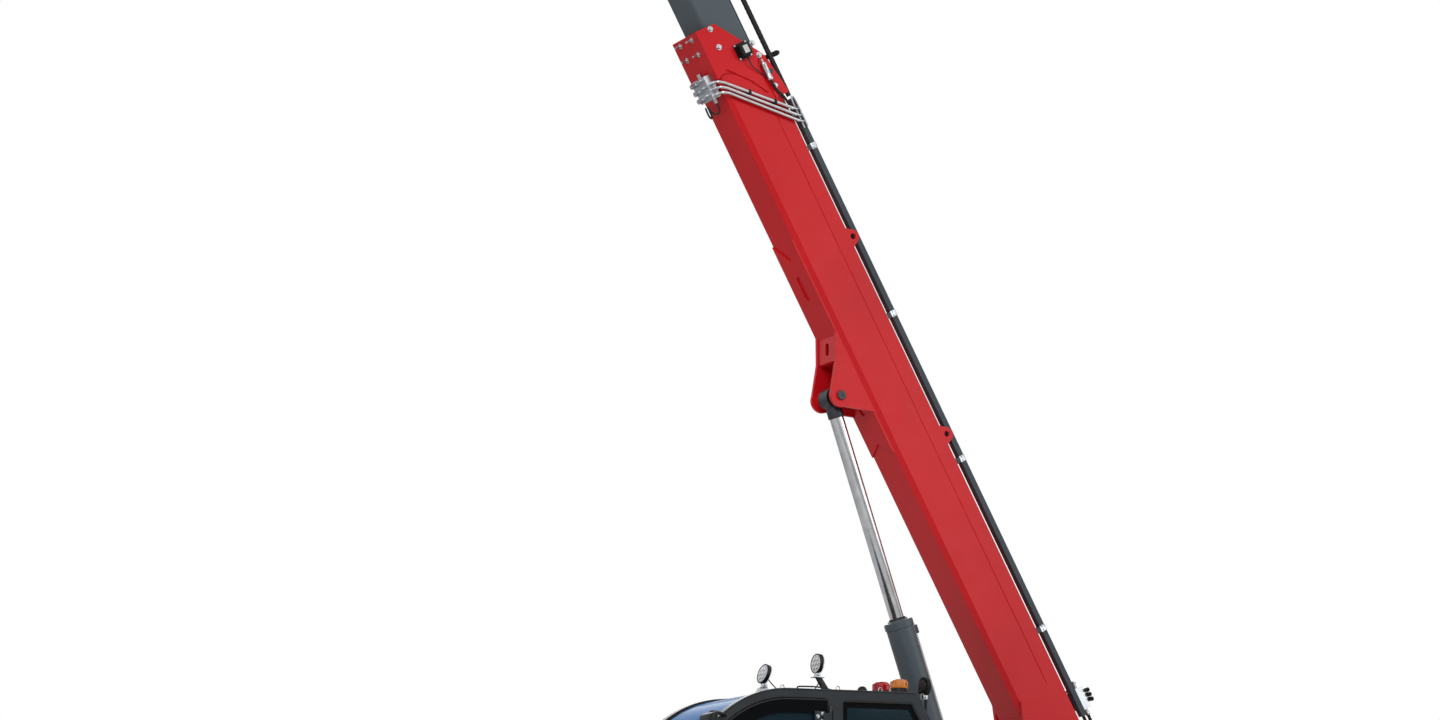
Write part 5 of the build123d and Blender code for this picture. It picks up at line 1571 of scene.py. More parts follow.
    def door(self) -> None:
        """Dresses the door: dark pane, black banded edge, hinges, handle and grab rod."""
        sill, back = self.floor + 0.106, self.door_rear + 0.006
        cuts = [((0, 0, sill), (0, 0, 1)), ((back, 0, 0), (1, 0, 0))]
        face = self.profile(self.door_inset, self.left + 0.0005)
        band = Blank.ring("door_black_edge", face, 0.098, (0, 0.0018, 0), cuts)
        self.fit(band, Coat.frit, body="door")
        seal = Blank.ring("door_edge_seal", face, 0.010, (0, 0.0045, 0), cuts)
        self.fit(seal, Coat.gasket, body="door")
        pane = Blank.plate("door_pane", self.profile(self.door_inset + 0.0703, 1.196),
                           (0, -self.pane, 0))
        pane.cut((0, 0, sill + 0.0703), (0, 0, 1)).cut((back + 0.0703, 0, 0), (1, 0, 0))
        self.fit(pane, Coat.dark_glass, stands_for=("door_glass",), body="door")
        bolts = []
        for z in (1.750, 2.845):
            leaf = Blank.block("door_hinge_leaf", (0.905, self.left + 0.002, z - 0.042),
                               (0.985, self.left + 0.010, z + 0.042)).ease(0.006, 2)
            self.fit(leaf, Coat.cab_grey, body="door")
            bolts += [(0.925, self.left + 0.009, z + 0.024),
                      (0.925, self.left + 0.009, z - 0.024),
                      (0.962, self.left + 0.009, z + 0.005)]
        self.bolt("door_hinge_bolts", bolts, (0, 1, 0), 0.018, body="door")
        pin = Blank.bar("door_hinge_pins", (self.door_rear, 1.224, 2.795),
                        (self.door_rear, 1.224, 2.925), 0.0085, 16).ease(0.002, 1)
        self.fit(pin, Coat.phosphate, body="door")
        grip = Blank.tube("door_handle", [
            (1.800, 1.214, 2.055), (1.800, 1.244, 2.06), (1.800, 1.250, 2.10),
            (1.800, 1.250, 2.16), (1.800, 1.244, 2.20), (1.800, 1.214, 2.205),
        ], 0.009, 3)
        lock = Blank.bar("lock", (1.800, 1.222, 1.96), (1.800, 1.245, 1.96), 0.017, 24)
        lock.inset(lambda c, n: n.y > 0.9, 0.004, -0.003).ease(0.002, 1)
        self.fit(grip.add(lock), Coat.lamp_black, body="door")
        rail = Blank.tube("entry_grab_rail", [
            (0.806, 1.212, 1.62), (0.806, 1.248, 1.63), (0.806, 1.252, 1.70),
            (0.806, 1.252, 2.35), (0.806, 1.248, 2.42), (0.806, 1.212, 2.43),
        ], 0.0125, 3)
        self.fit(rail, Coat.lamp_black)

    def seams(self) -> None:
        """Folds the rain channels over the side glazing and caps the rear shoulder."""
        eaves = [(0.162, self.roof_rear - 0.005), (1.180, self.roof_front - 0.005)]
        eaves += arc_through((1.180, 3.025), (1.622, 2.882), (1.94, 2.46), 10)[1:]
        for out, word in SIDES:
            y = (self.left if out > 0 else self.right) + out * 0.001
            points = [(x, y, z) for x, z in eaves]
            self.fit(Blank.tube(f"{word}_rain_channel", points, 0.0055, 2), Coat.cab_grey)
        shoulder = Blank.block("shoulder_caps", (0.118, self.left - 0.05, 2.975),
                               (0.128, self.left + 0.002, 3.015)).ease(0.002, 1)
        self.fit(shoulder, Coat.cab_grey)

    def work_lamp(self, x: float, y: float, z: float, tilt: float, word: str) -> None:
        """Builds one round work lamp: finned body, bezel, lens, reflectors and bolt block.

        Args:
            x: Its middle along the machine.
            y: Its middle across.
            z: Its middle's height.
            tilt: How far it looks up, in degrees; 180 looks back.
            word: Its place in the pieces' names.
        """
        r = self.lamp_radius if tilt < 90 else self.lamp_radius - 0.005
        angle = math.radians(tilt)
        out = (math.cos(angle), 0, math.sin(angle))
        body = Blank.turned(
            f"{word}_work_lamp",
            ((0.0, -0.022), (r * 0.66, -0.022), (r * 0.70, -0.018), (r * 0.74, -0.012),
             (r * 0.96, -0.010), (r, -0.006), (r, 0.014), (r * 0.97, 0.0165),
             (r * 0.91, 0.0165), (r * 0.89, 0.012), (0.0, 0.012)),
            (x, y, z), out, 40,
        )
        fin = Blank.block("fin", (-0.0018, r * 0.72, -0.018), (0.0018, r * 1.0, 0.004))
        fin.ease(0.0007, 1)
        fins = fin.at_each([turn(360 / 28 * index, "Z") for index in range(28)])
        fins.move(shift(x, y, z) @ square_to(out))
        self.fit(body.add(fins), Coat.lamp_black, stands_for=("roof_lamps",))
        lens = Blank.turned(
            f"{word}_lamp_lens",
            ((0.0, 0.0115), (r * 0.885, 0.0115), (r * 0.885, 0.0145), (r * 0.6, 0.0165),
             (0.0, 0.0172)),
            (x, y, z), out, 40,
        )
        self.fit(lens, Coat.lens)
        cup = Blank.turned(
            f"{word}_lamp_reflectors",
            ((0.0, 0.0), (0.010, 0.0), (0.013, 0.003), (0.010, 0.005), (0.004, 0.0035),
             (0.0, 0.006)),
            (0, 0, 0), (0, 0, 1), 14,
        )
        spots = [shift(0, 0, 0.0165)]
        spots += [turn(60 * index, "Z") @ shift(0.034, 0, 0.0158) for index in range(6)]
        cups = cup.at_each(spots).move(shift(x, y, z) @ square_to(out))
        self.fit(cups, Coat.chrome)
        yoke = Blank.block(f"{word}_lamp_bolt_block", (x - 0.017, y - 0.019, z - r - 0.026),
                           (x + 0.019, y + 0.019, z - r + 0.014)).ease(0.003, 2)
        yoke.add(hex_bolts("bolt", [(x, y + 0.018, z - r - 0.008)], (0, 1, 0), 0.018),
                 hex_bolts("nut", [(x, y - 0.018, z - r - 0.008)], (0, -1, 0), 0.018))
        self.fit(yoke, Coat.zinc)

    def lamps(self) -> None:
        """Stands the three work lamps on their brackets, with their clipped cables."""
        y = self.left - 0.460
        low, high = (1.109, 3.170), (0.681, 3.271)
        self.work_lamp(low[0], y, low[1], 16, "low")
        self.work_lamp(high[0], y, high[1], 4, "high")
        self.work_lamp(0.059, 1.150, 3.115, 180, "rear")
        foot = Blank.block("low_lamp_foot", (1.075, y - 0.03, 3.024), (1.165, y + 0.03, 3.044))
        foot.inset(lambda c, n: n.z > 0.9, 0.014, 0.034).ease(0.003, 2)
        self.fit(foot, Coat.zinc)
        arm = Blank.plate("high_lamp_arm", [
            (0.550, y - 0.014, 3.040), (0.606, y - 0.014, 3.040), (0.698, y - 0.014, 3.178),
            (0.654, y - 0.014, 3.178),
        ], (0, 0.028, 0)).ease(0.004, 2)
        self.fit(arm, Coat.cab_grey)
        plate = Blank.block("high_lamp_plate", (0.640, y - 0.03, 3.172), (0.722, y + 0.03, 3.181))
        plate.ease(0.003, 2)
        self.fit(plate, Coat.zinc)
        post = Blank.block("rear_lamp_post", (0.042, 1.135, 2.950), (0.052, 1.165, 3.050))
        post.ease(0.003, 1)
        shelf = Blank.block("shelf", (0.044, 1.130, 2.945), (0.118, 1.170, 2.958)).ease(0.003, 1)
        self.fit(post.add(shelf), Coat.cab_grey)
        leads = Blank.tube("roof_lamp_cables", [
            (1.090, y, 3.150), (1.055, y, 3.110), (1.01, y, 3.075), (0.96, y, 3.045),
            (0.93, y, 3.037),
        ], 0.0042, 2)
        second = Blank.tube("lead", [
            (0.66, y, 3.16), (0.70, y + 0.01, 3.09), (0.76, y + 0.01, 3.058),
            (0.83, y + 0.01, 3.068), (0.89, y + 0.01, 3.062), (0.90, y + 0.01, 3.045),
        ], 0.0042, 2)
        third = Blank.tube("lead", [
            (0.078, 1.15, 3.09), (0.11, 1.13, 3.07), (0.16, 1.10, 3.068), (0.22, 1.0, 3.066),
        ], 0.0042, 2)
        self.fit(leads.add(second, third), Coat.hose)

    def beacons(self) -> None:
        """Stands the amber and the red beacon, each a ribbed lens on a black base."""
        for x, y, coat, word in ((0.203, 1.050, Coat.amber, "amber"),
                                 (0.223, 0.850, Coat.ruby, "red")):
            foot = self.roof(x)
            base = Blank.turned(
                f"{word}_beacon_base",
                ((0.0, -0.004), (0.064, -0.004), (0.064, 0.012), (0.060, 0.020), (0.060, 0.034),
                 (0.056, 0.040), (0.0, 0.040)),
                (x, y, foot), (0, 0, 1), 40,
            )
            self.fit(base, Coat.lamp_black, stands_for=("beacons",))
            rows = [(0.0, 0.039), (0.061, 0.039), (0.0635, 0.043)]
            for index in range(4):
                at = 0.047 + index * 0.009
                rows += [(0.0615, at), (0.0635, at + 0.0045)]
            rows += [(0.060, 0.088), (0.050, 0.099), (0.030, 0.104), (0.0, 0.105)]
            lens = Blank.turned(f"{word}_beacon_lens", rows, (x, y, foot), (0, 0, 1), 48)
            self.fit(lens, coat, stands_for=("beacons",), smooth=50.0)
            lamp = Blank.turned(
                f"{word}_beacon_reflector",
                ((0.0, 0.0405), (0.044, 0.0405), (0.030, 0.055), (0.026, 0.075), (0.0, 0.080)),
                (x, y, foot), (0, 0, 1), 24,
            )
            self.fit(lamp, Coat.chrome)

    def roof_trim(self) -> None:
        """Adds the aerial's dome, the lifting hooks and the clipped cable."""
        dome = Blank.turned(
            "aerial_dome",
            ((0.0, -0.003), (0.035, -0.003), (0.036, 0.004), (0.033, 0.030), (0.025, 0.044),
             (0.012, 0.051), (0.0, 0.053)),
            (0.472, 1.0, self.roof(0.472)), (0, 0, 1), 32,
        )
        self.fit(dome, Coat.lamp_black)
        hooks = []
        for x, y in ((0.743, 1.12), (0.40, 1.12), (0.50, 0.42), (0.98, 0.42), (1.16, 1.08)):
            z = self.roof(x)
            hook = Blank.tube("roof_hooks", [
                (x - 0.014, y, z - 0.004), (x - 0.016, y, z + 0.016), (x - 0.010, y, z + 0.032),
                (x + 0.010, y, z + 0.032), (x + 0.016, y, z + 0.016), (x + 0.014, y, z - 0.004),
            ], 0.0036, 2)
            hooks.append(hook)
        self.fit(all_in_one(hooks), Coat.zinc)
        cable = Blank.tube("roof_cable", [
            (1.08, 1.14, self.roof(1.08) - 0.003), (1.08, 1.14, self.roof(1.08) + 0.018),
            (1.05, 1.14, self.roof(1.05) + 0.020), (0.93, 1.14, self.roof(0.93) + 0.022),
            (0.84, 1.14, self.roof(0.84) + 0.012), (0.77, 1.13, self.roof(0.77) - 0.003),
        ], 0.0055, 3)
        self.fit(cable, Coat.hose)

    def mirrors(self) -> None:
        """Replaces both mirrors by moulded heads with glass, on bent tube arms."""
        for word, x, y, z, arm in (
            ("left", 1.888, 1.310, 2.45, [
                (1.655, 1.185, 2.812), (1.70, 1.24, 2.815), (1.78, 1.286, 2.822),
                (1.845, 1.292, 2.822), (1.850, 1.292, 2.76), (1.850, 1.292, 2.47),
            ]),
            ("right", 0.830, -1.500, 2.12, [
                (0.845, -1.222, 2.18), (0.845, -1.26, 2.18), (0.845, -1.31, 2.18),
                (0.845, -1.34, 2.20), (0.845, -1.36, 2.24), (0.845, -1.40, 2.26),
            ]),
        ):
            tall = 0.36
            shell = Blank.block(f"{word}_mirror_shell", (x, y, z),
                                (x + 0.055, y + 0.19, z + tall))
            shell.resize(lambda c, n: n.x > 0.9, (1, 0.82, 0.88)).ease(0.018, 4, 20)
            shell.inset(lambda c, n: n.x < -0.9, 0.008, -0.006)
            self.fit(shell, Coat.lamp_black, stands_for=("mirrors",))
            glass = Blank.block(f"{word}_mirror_glass", (x + 0.0025, y + 0.026, z + 0.026),
                                (x + 0.007, y + 0.164, z + tall - 0.026)).ease(0.002, 1)
            self.fit(glass, Coat.mirror)
            tube = Blank.tube(f"{word}_mirror_arm", arm, 0.012, 3)
            low = y - 0.03 if word == "left" else y + 0.06
            clamp = Blank.block("clamp", (arm[-1][0] - 0.02, low, z + 0.14),
                                (arm[-1][0] + 0.03, y + 0.03, z + 0.20))
            if word == "right":
                clamp.move(shift(0, 0.05, 0))
            clamp.ease(0.005, 1)
            self.fit(tube.add(clamp), Coat.lamp_black, stands_for=("mirrors",))

    def build(self) -> None:
        """Makes every piece of the cab's dress."""
        self.windscreen()
        self.side_panes()
        self.door()
        self.seams()
        self.lamps()
        self.beacons()
        self.roof_trim()
        self.mirrors()


# ---- Cab inside ------------------------------------------------------------------------
@dataclass
class CabInside(SubAssembly):
    """The sprung seat with its sewn cushions, the consoles, sticks, monitor and pedals."""

    middle: float = 0.755
    seat_along: float = 0.655
    floor: float = 1.446
    voxel: float = 0.010
    pressure: float = 4.0
    frames: int = 20
    most_drift: float = 0.012
    channel_depth: float = 0.007

    def cushion(self, name: str, low: Corner, high: Corner, lean: float, channels: int) -> None:
        """Pads one cushion: a soft block blown up as cloth, with sewn channels.

        Args:
            name: The cushion's name.
            low: Its lowest corner.
            high: Its highest corner.
            lean: How far it leans back, in degrees.
            channels: How many channels are sewn along it.
        """
        pad = Blank.block(name, low, high).ease(0.03, 3)
        pad.modify("REMESH", mode="VOXEL", voxel_size=self.voxel)
        pad.hold()
        rest = [vertex.co.copy() for vertex in pad.thing.data.vertices]
        cloth = pad.thing.modifiers.new("stuffing", "CLOTH")
        cloth.settings.use_pressure = True
        cloth.settings.uniform_pressure_force = self.pressure
        cloth.settings.effector_weights.gravity = 0.0
        cloth.point_cache.frame_end = self.frames
        for step in range(1, self.frames + 1):
            bpy.context.scene.frame_set(step)
        bpy.ops.object.modifier_apply(modifier=cloth.name)
        bpy.context.scene.frame_set(1)
        for vertex, start in zip(pad.thing.data.vertices, rest):
            drift = vertex.co - start
            if drift.length > self.most_drift:
                vertex.co = start + drift.normalized() * self.most_drift
        middle = (Vector(low) + Vector(high)) / 2
        half = (Vector(high) - Vector(low)) / 2
        flat = half.x > half.z
        for vertex in pad.thing.data.vertices:
            across = (vertex.co.y - middle.y) / half.y
            sewn = math.cos(across * math.pi * channels) ** 8
            if flat and vertex.co.z > middle.z:
                vertex.co.z -= self.channel_depth * sewn
            if not flat and vertex.co.x > middle.x:
                vertex.co.x -= self.channel_depth * sewn
        pad.modify("SUBSURF", levels=1, render_levels=1)
        pad.move(turn(-lean, "Y", (low[0], middle.y, low[2])))
        thing = self.fit(pad, Coat.seat, stands_for=("cab_seat",), smooth=80.0)

    def seat(self) -> None:
        """Stands the seat: bellows, pan, three cushions and the armrests' consoles."""
        x, y, z = self.seat_along, self.middle, self.floor
        self.cushion("seat_cushion", (x - 0.21, y - 0.235, z + 0.345),
                     (x + 0.25, y + 0.235, z + 0.435), 0.0, 3)
        self.cushion("back_cushion", (x - 0.235, y - 0.21, z + 0.47),
                     (x - 0.155, y + 0.21, z + 0.93), 9.0, 3)
        self.cushion("head_cushion", (x - 0.315, y - 0.12, z + 0.95),
                     (x - 0.255, y + 0.12, z + 1.06), 9.0, 1)
        rows = [(0.0, 0.0), (0.19, 0.0), (0.19, 0.04)]
        for index in range(5):
            at = 0.05 + index * 0.05
            rows += [(0.165, at), (0.185, at + 0.025)]
        rows += [(0.165, 0.30), (0.20, 0.31), (0.20, 0.335), (0.0, 0.335)]
        bellows = Blank.turned("seat_bellows", rows, (x, y, z), (0, 0, 1), 40)
        shell = Blank.plate("shell", [
            (x - 0.255, y - 0.2, z + 0.335), (x - 0.225, y - 0.2, z + 0.335),
            (x - 0.325, y - 0.2, z + 1.02), (x - 0.335, y - 0.2, z + 1.02),
        ], (0, 0.4, 0)).ease(0.004, 1)
        self.fit(bellows.add(shell), Coat.lamp_black, stands_for=("cab_seat",))
        for side, word in SIDES:
            low, high = sorted((y + side * 0.278, y + side * 0.368))
            box = Blank.block(f"{word}_console", (x - 0.15, low, z + 0.48),
                              (x + 0.33, high, z + 0.59))
            box.resize(lambda c, n: n.x > 0.9, (1, 0.9, 0.6))
            box.inset(lambda c, n: n.z > 0.9, 0.012, 0.004).ease(0.008, 2)
            leg = Blank.block("leg", (x - 0.05, low + 0.02, z + 0.001),
                              (x + 0.09, high - 0.02, z + 0.49))
            leg.ease(0.006, 1)
            self.fit(box.add(leg), Coat.lamp_black, stands_for=("cab_seat",))
            stick = Blank.turned(
                f"{word}_joystick",
                ((0.0, 0.0), (0.034, 0.0), (0.034, 0.006), (0.024, 0.016), (0.020, 0.03),
                 (0.013, 0.04), (0.012, 0.075), (0.020, 0.09), (0.023, 0.13), (0.019, 0.165),
                 (0.010, 0.176), (0.0, 0.178)),
                (x + 0.25, (low + high) / 2, z + 0.565), (0.12, 0, 1), 20,
            )
            self.fit(stick, Coat.lamp_black)

    def controls(self) -> None:
        """Adds the monitor on its arm, the pedals, the ribbed mat and the wheel's grip."""
        y = self.middle
        screen = Blank.block("monitor", (1.46, 0.375, 2.06), (1.49, 0.60, 2.22))
        screen.inset(lambda c, n: n.x < -0.9, 0.012, -0.004).ease(0.004, 2)
        arm = Blank.bar("arm", (1.475, 0.42, 2.07), (1.52, 0.353, 1.90), 0.012, 12)
        screen.add(arm)
        self.fit(screen, Coat.lamp_black)
        pedals = []
        for across in (-0.16, 0.16):
            pedal = Blank.block("pedals", (1.50, y + across - 0.045, 1.47),
                                (1.52, y + across + 0.045, 1.63))
            pedal.ease(0.005, 1).move(turn(35, "Y", (1.51, y + across, 1.47)))
            pedals.append(pedal)
        self.fit(all_in_one(pedals), Coat.gasket)
        mat = Blank.block("floor_mat", (0.90, 0.365, 1.444), (1.76, 1.145, 1.454))
        rib = Blank.block("rib", (0.92, 0.38, 1.4535), (0.934, 1.13, 1.458))
        mat.add(rib.at_each([shift(index * 0.034, 0, 0) for index in range(25)]))
        self.fit(mat, Coat.rubber)
        rim = Blank.turned(
            "steering_grip",
            tuple((0.185 + 0.0185 * math.cos(step * math.pi / 5),
                   0.0185 * math.sin(step * math.pi / 5))
                  for step in range(10)),
            (1.260, y, 2.162), (-math.sin(math.radians(22)), 0, math.cos(math.radians(22))), 48,
        )
        self.fit(rim, Coat.gasket)

    def build(self) -> None:
        """Furnishes the cab."""
        self.seat()
        self.controls()


# ---- Turret -----------------------------------------------------------------------------
@dataclass
class Turret(SubAssembly):
    """Pins, lid, tank, counterweight, exhaust and engine details on the slewing platform."""

    outer: float = 1.225
    cheek_half: float = 0.256
    lid_top: float = 2.264
    filler: Corner = (-1.66, 0.7625, 2.000)
    stack: Corner = (-2.20, -0.7625, 2.24)

    def pins(self) -> None:
        """Bolts a keeper plate over each end of the two main pins."""
        foot = JOINTS["barrel_swing"]["pos_m"]
        lift = JOINTS["boom_lift"]["pos_m"]
        zero = self.place.translation
        for word, spot, radius in (("boom", lift, 0.077), ("cylinder", foot, 0.062)):
            x, z = spot[0] - zero.x, spot[2]
            for side, hand in SIDES:
                cap = Blank.turned(
                    f"{word}_pin_cap_{hand}",
                    ((0.0, 0.0), (radius, 0.0), (radius, 0.006), (radius - 0.006, 0.011),
                     (0.018, 0.011), (0.014, 0.004), (0.0, 0.004)),
                    (x, side * self.cheek_half, z), (0, side, 0), 40,
                )
                cap.add(hex_bolts("bolt", [
                    (x + radius * 0.62 * math.cos(a), side * (self.cheek_half + 0.0105),
                     z + radius * 0.62 * math.sin(a)) for a in (0.5, 2.6, 4.7)
                ], (0, side, 0), 0.02))
                self.fit(cap, Coat.zinc)

    def hoses(self) -> None:
        """Leads the hoses from the platform to the cylinder's foot and the boom's heel."""
        lines = [Blank.tube("platform_hoses", [
            (-1.75, y, 1.42), (-1.70, y, 1.62), (-1.62, y, 1.86), (-1.70, y, 2.08),
            (-1.80, y, 2.24), (-1.82, y, 2.38),
        ], 0.016, 3) for y in (-0.10, -0.05, 0.05, 0.10)]
        self.fit(all_in_one(lines), Coat.hose)
        bar = Blank.block("hose_bulkhead", (-1.82, -0.15, 1.398), (-1.68, 0.15, 1.46))
        bar.inset(lambda c, n: n.z > 0.9, 0.02, 0.015).ease(0.004, 1)
        self.fit(bar, Coat.phosphate)

    def lid(self) -> None:
        """Finishes the bonnet: louvre frame and mesh, latches, raised crown and hinge bolts."""
        skirt_low, y = 1.626, -self.outer
        frame = Blank.ring("louvre_frame", [
            (-1.68, y, 1.68), (0.47, y, 1.68), (0.47, y, 2.14), (-1.68, y, 2.14),
        ], 0.022, (0, -0.004, 0)).ease(0.0015, 1)
        self.fit(frame, Coat.cab_grey, body="lid")
        mesh = Blank.block("louvre_mesh", (-1.66, y + 0.028, 1.70), (0.45, y + 0.033, 2.12))
        bar = Blank.block("bar", (-1.66, y + 0.022, 1.705), (0.45, y + 0.030, 1.712))
        mesh.add(bar.at_each([shift(0, 0, index * 0.021) for index in range(20)]))
        self.fit(mesh, Coat.fins, body="lid")
        for index, x in enumerate((-1.75, 0.55)):
            latch = Blank.block(f"lid_latch_{index}", (x - 0.03, y - 0.009, skirt_low + 0.03),
                                (x + 0.03, y + 0.001, skirt_low + 0.10))
            latch.inset(lambda c, n: n.y < -0.9, 0.010, -0.004).ease(0.003, 2)
            self.fit(latch, Coat.lamp_black, body="lid")
        rib = Blank.block("lid_crown", (-1.90, -1.08, self.lid_top - 0.001),
                          (0.70, -0.48, self.lid_top + 0.007))
        rib.ease(0.006, 2).inset(lambda c, n: n.z > 0.9, 0.10, -0.004)
        self.fit(rib, Coat.red_paint, body="lid")
        places = [(x, -0.362, self.lid_top + 0.001) for x in (-1.61, -1.51, 0.31, 0.41)]
        self.bolt("lid_hinge_bolts", places, (0, 0, 1), 0.02, body="lid")

    def engine(self) -> None:
        """Dresses the engine: rocker cover, air filter, fan shroud and radiator core."""
        x, y, z = -0.85, -0.7625, 2.05
        cover = Blank.block("rocker_cover", (x - 0.40, y - 0.10, z - 0.002),
                            (x + 0.34, y + 0.10, z + 0.075))
        cover.resize(lambda c, n: n.z > 0.9, (0.96, 0.8, 1)).ease(0.012, 2)
        rib = Blank.block("rib", (x - 0.36, y - 0.07, z + 0.07), (x - 0.345, y + 0.07, z + 0.083))
        cover.add(rib.at_each([shift(0.07 * index, 0, 0) for index in range(10)]))
        self.fit(cover, Coat.engine)
        intake = Blank.turned(
            "air_filter",
            ((0.0, 0.0), (0.085, 0.0), (0.09, 0.01), (0.09, 0.30), (0.084, 0.31), (0.084, 0.33),
             (0.09, 0.34), (0.09, 0.40), (0.05, 0.42), (0.0, 0.42)),
            (x - 0.55, y - 0.22, z - 0.01), (1, 0, 0), 32,
        )
        self.fit(intake, Coat.lamp_black)
        shroud = Blank.turned(
            "fan_shroud",
            ((0.20, 0.0), (0.27, 0.0), (0.27, 0.02), (0.25, 0.07), (0.22, 0.09), (0.20, 0.09)),
            (x + 0.60, y, 1.74), (1, 0, 0), 40,
        )
        core = Blank.block("core", (x + 0.70, y - 0.30, 1.45), (x + 0.78, y + 0.30, 2.08))
        core.inset(lambda c, n: abs(n.x) > 0.9, 0.03, -0.006).ease(0.004, 1)
        self.fit(shroud.add(core), Coat.fins)

    def tank(self) -> None:
        """Details the tank: ribbed cap, sight glass, battery door, latches and tread plate."""
        cap = Blank.turned(
            "tank_cap",
            ((0.0, 0.0), (0.066, 0.0), (0.068, 0.004), (0.068, 0.034), (0.062, 0.042),
             (0.03, 0.046), (0.0, 0.046)),
            self.filler, (0, 0, 1), 40,
        )
        grip = Blank.block("grip", (0.060, -0.006, 0.002), (0.072, 0.006, 0.036)).ease(0.002, 1)
        ribs = grip.at_each([turn(30 * index, "Z") for index in range(12)])
        ribs.move(shift(*self.filler))
        self.fit(cap.add(ribs), Coat.lamp_black)
        gauge = Blank.block("tank_sight_glass", (-1.30, self.outer - 0.002, 1.60),
                            (-1.26, self.outer + 0.008, 1.84))
        gauge.inset(lambda c, n: n.y > 0.9, 0.007, -0.004).ease(0.003, 2)
        self.fit(gauge, Coat.lens)
        door = Blank.plate("battery_door", [
            (-0.95, self.outer - 0.002, 1.46), (-0.10, self.outer - 0.002, 1.46),
            (-0.10, self.outer - 0.002, 1.88), (-0.95, self.outer - 0.002, 1.88),
        ], (0, 0.009, 0)).inset(lambda c, n: n.y > 0.9, 0.03, -0.003).ease(0.003, 2)
        self.fit(door, Coat.red_paint)
        latch = Blank.turned(
            "battery_door_latches",
            ((0.0, 0.0), (0.017, 0.0), (0.017, 0.005), (0.012, 0.007), (0.006, 0.004),
             (0.0, 0.004)),
            (-0.16, self.outer + 0.005, 1.67), (0, 1, 0), 24,
        )
        latch.add(latch.twin(shift(-0.72, 0, 0)))
        self.fit(latch, Coat.phosphate)
        tread = Blank.block("tank_tread_plate", (-1.45, 0.46, 1.979), (-0.12, 1.05, 1.983))
        stud = Blank.bar("stud", (-1.40, 0.50, 1.982), (-1.40, 0.50, 1.988), 0.012, 8, 0.6)
        tread.add(stud.at_each([
            shift(0.065 * i, 0.075 * j + 0.0375 * (i % 2), 0) for i in range(20) for j in range(7)
        ]))
        self.fit(tread, Coat.phosphate)

    def tail(self) -> None:
        """Bolts the counterweight and the slewing ring, and adds eyes, lamps and the shield."""
        bolts = [(-2.762, y, z) for y in (-0.55, 0.55) for z in (1.50, 2.02)]
        self.bolt("counterweight_bolts", bolts, (-1, 0, 0), 0.055, Coat.phosphate)
        for side, word in SIDES:
            y = side * 0.80
            lamp = Blank.block(f"tail_lamp_{word}", (-2.782, y - 0.10, 1.70),
                               (-2.755, y + 0.10, 1.78))
            lamp.inset(lambda c, n: n.x < -0.9, 0.008, -0.003).ease(0.006, 2)
            self.fit(lamp, Coat.ruby)
            eye = Blank.tube(f"lifting_eye_{word}", [
                (-2.45, y - 0.05, 2.235), (-2.45, y - 0.05, 2.30), (-2.45, y, 2.335),
                (-2.45, y + 0.05, 2.30), (-2.45, y + 0.05, 2.235),
            ], 0.014, 3)
            self.fit(eye, Coat.zinc)
        shield = Blank.turned(
            "exhaust_shield",
            ((0.060, 0.06), (0.064, 0.06), (0.064, 0.30), (0.060, 0.30)),
            self.stack, (0, 0, 1), 40,
        )
        clamp = Blank.turned(
            "clamp", ((0.0525, 0.02), (0.060, 0.022), (0.060, 0.044), (0.0525, 0.046)),
            self.stack, (0, 0, 1), 40,
        )
        self.fit(shield.add(clamp), Coat.fins)
        ring = [(0.66 * math.cos(a), 0.66 * math.sin(a), 1.400)
                for a in (math.pi * step / 12 for step in range(24))]
        ring = [(x, y, z) for x, y, z in ring if abs(y) < 0.19 or y > 0.3 and x < -0.1]
        self.bolt("slew_ring_bolts", ring, (0, 0, 1), 0.03, Coat.phosphate)

    def build(self) -> None:
        """Makes the turret's pieces."""
        self.pins()
        self.hoses()
        self.lid()
        self.engine()
        self.tank()
        self.tail()


# ---- Head -------------------------------------------------------------------------------
@dataclass
class ForkHead(SubAssembly):
    """The head's pin caps, the carriage's stop bolts and the forks' locks."""

    body: str = "carriage"

    def build(self) -> None:
        """Makes the head's pieces."""
        spot = JOINTS["carriage_tilt"]["pos_m"]
        x, z = spot[0] - self.place.translation.x, spot[2]
        for side, word in SIDES:
            y = side * 0.146
            cap = Blank.turned(
                f"tilt_pin_cap_{word}",
                ((0.0, 0.0), (0.062, 0.0), (0.062, 0.007), (0.056, 0.012), (0.014, 0.012),
                 (0.010, 0.005), (0.0, 0.005)),
                (x, y, z), (0, side, 0), 32,
            )
            spots = [(x + way * 0.03, y + side * 0.011, z + way * 0.02) for way in (1, -1)]
            cap.add(hex_bolts("bolt", spots, (0, side, 0), 0.018))
            self.fit(cap, Coat.zinc, body="boom_4")
        low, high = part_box("carriage")
        zero = self.place.translation
        face = high[0] - zero.x
        for side, word in SIDES:
            edge = max(abs(low[1]), abs(high[1])) - 0.03
            bolts = [(face, side * edge, level) for level in (high[2] - 0.03, high[2] - 0.08,
                                                               low[2] + 0.03, low[2] + 0.08)]
            self.bolt(f"carriage_stops_{word}", bolts, (1, 0, 0), 0.026)
        forks_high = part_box("forks")[1]
        for side, word in SIDES:
            y = side * (abs(forks_high[1]) - 0.065)
            knob = Blank.turned(
                f"fork_lock_{word}",
                ((0.0, 0.0), (0.012, 0.0), (0.012, 0.03), (0.020, 0.034), (0.020, 0.048),
                 (0.0, 0.05)),
                (face - 0.03, y, forks_high[2] - 0.052), (0, 0, 1), 20,
            )
            self.fit(knob, Coat.zinc)


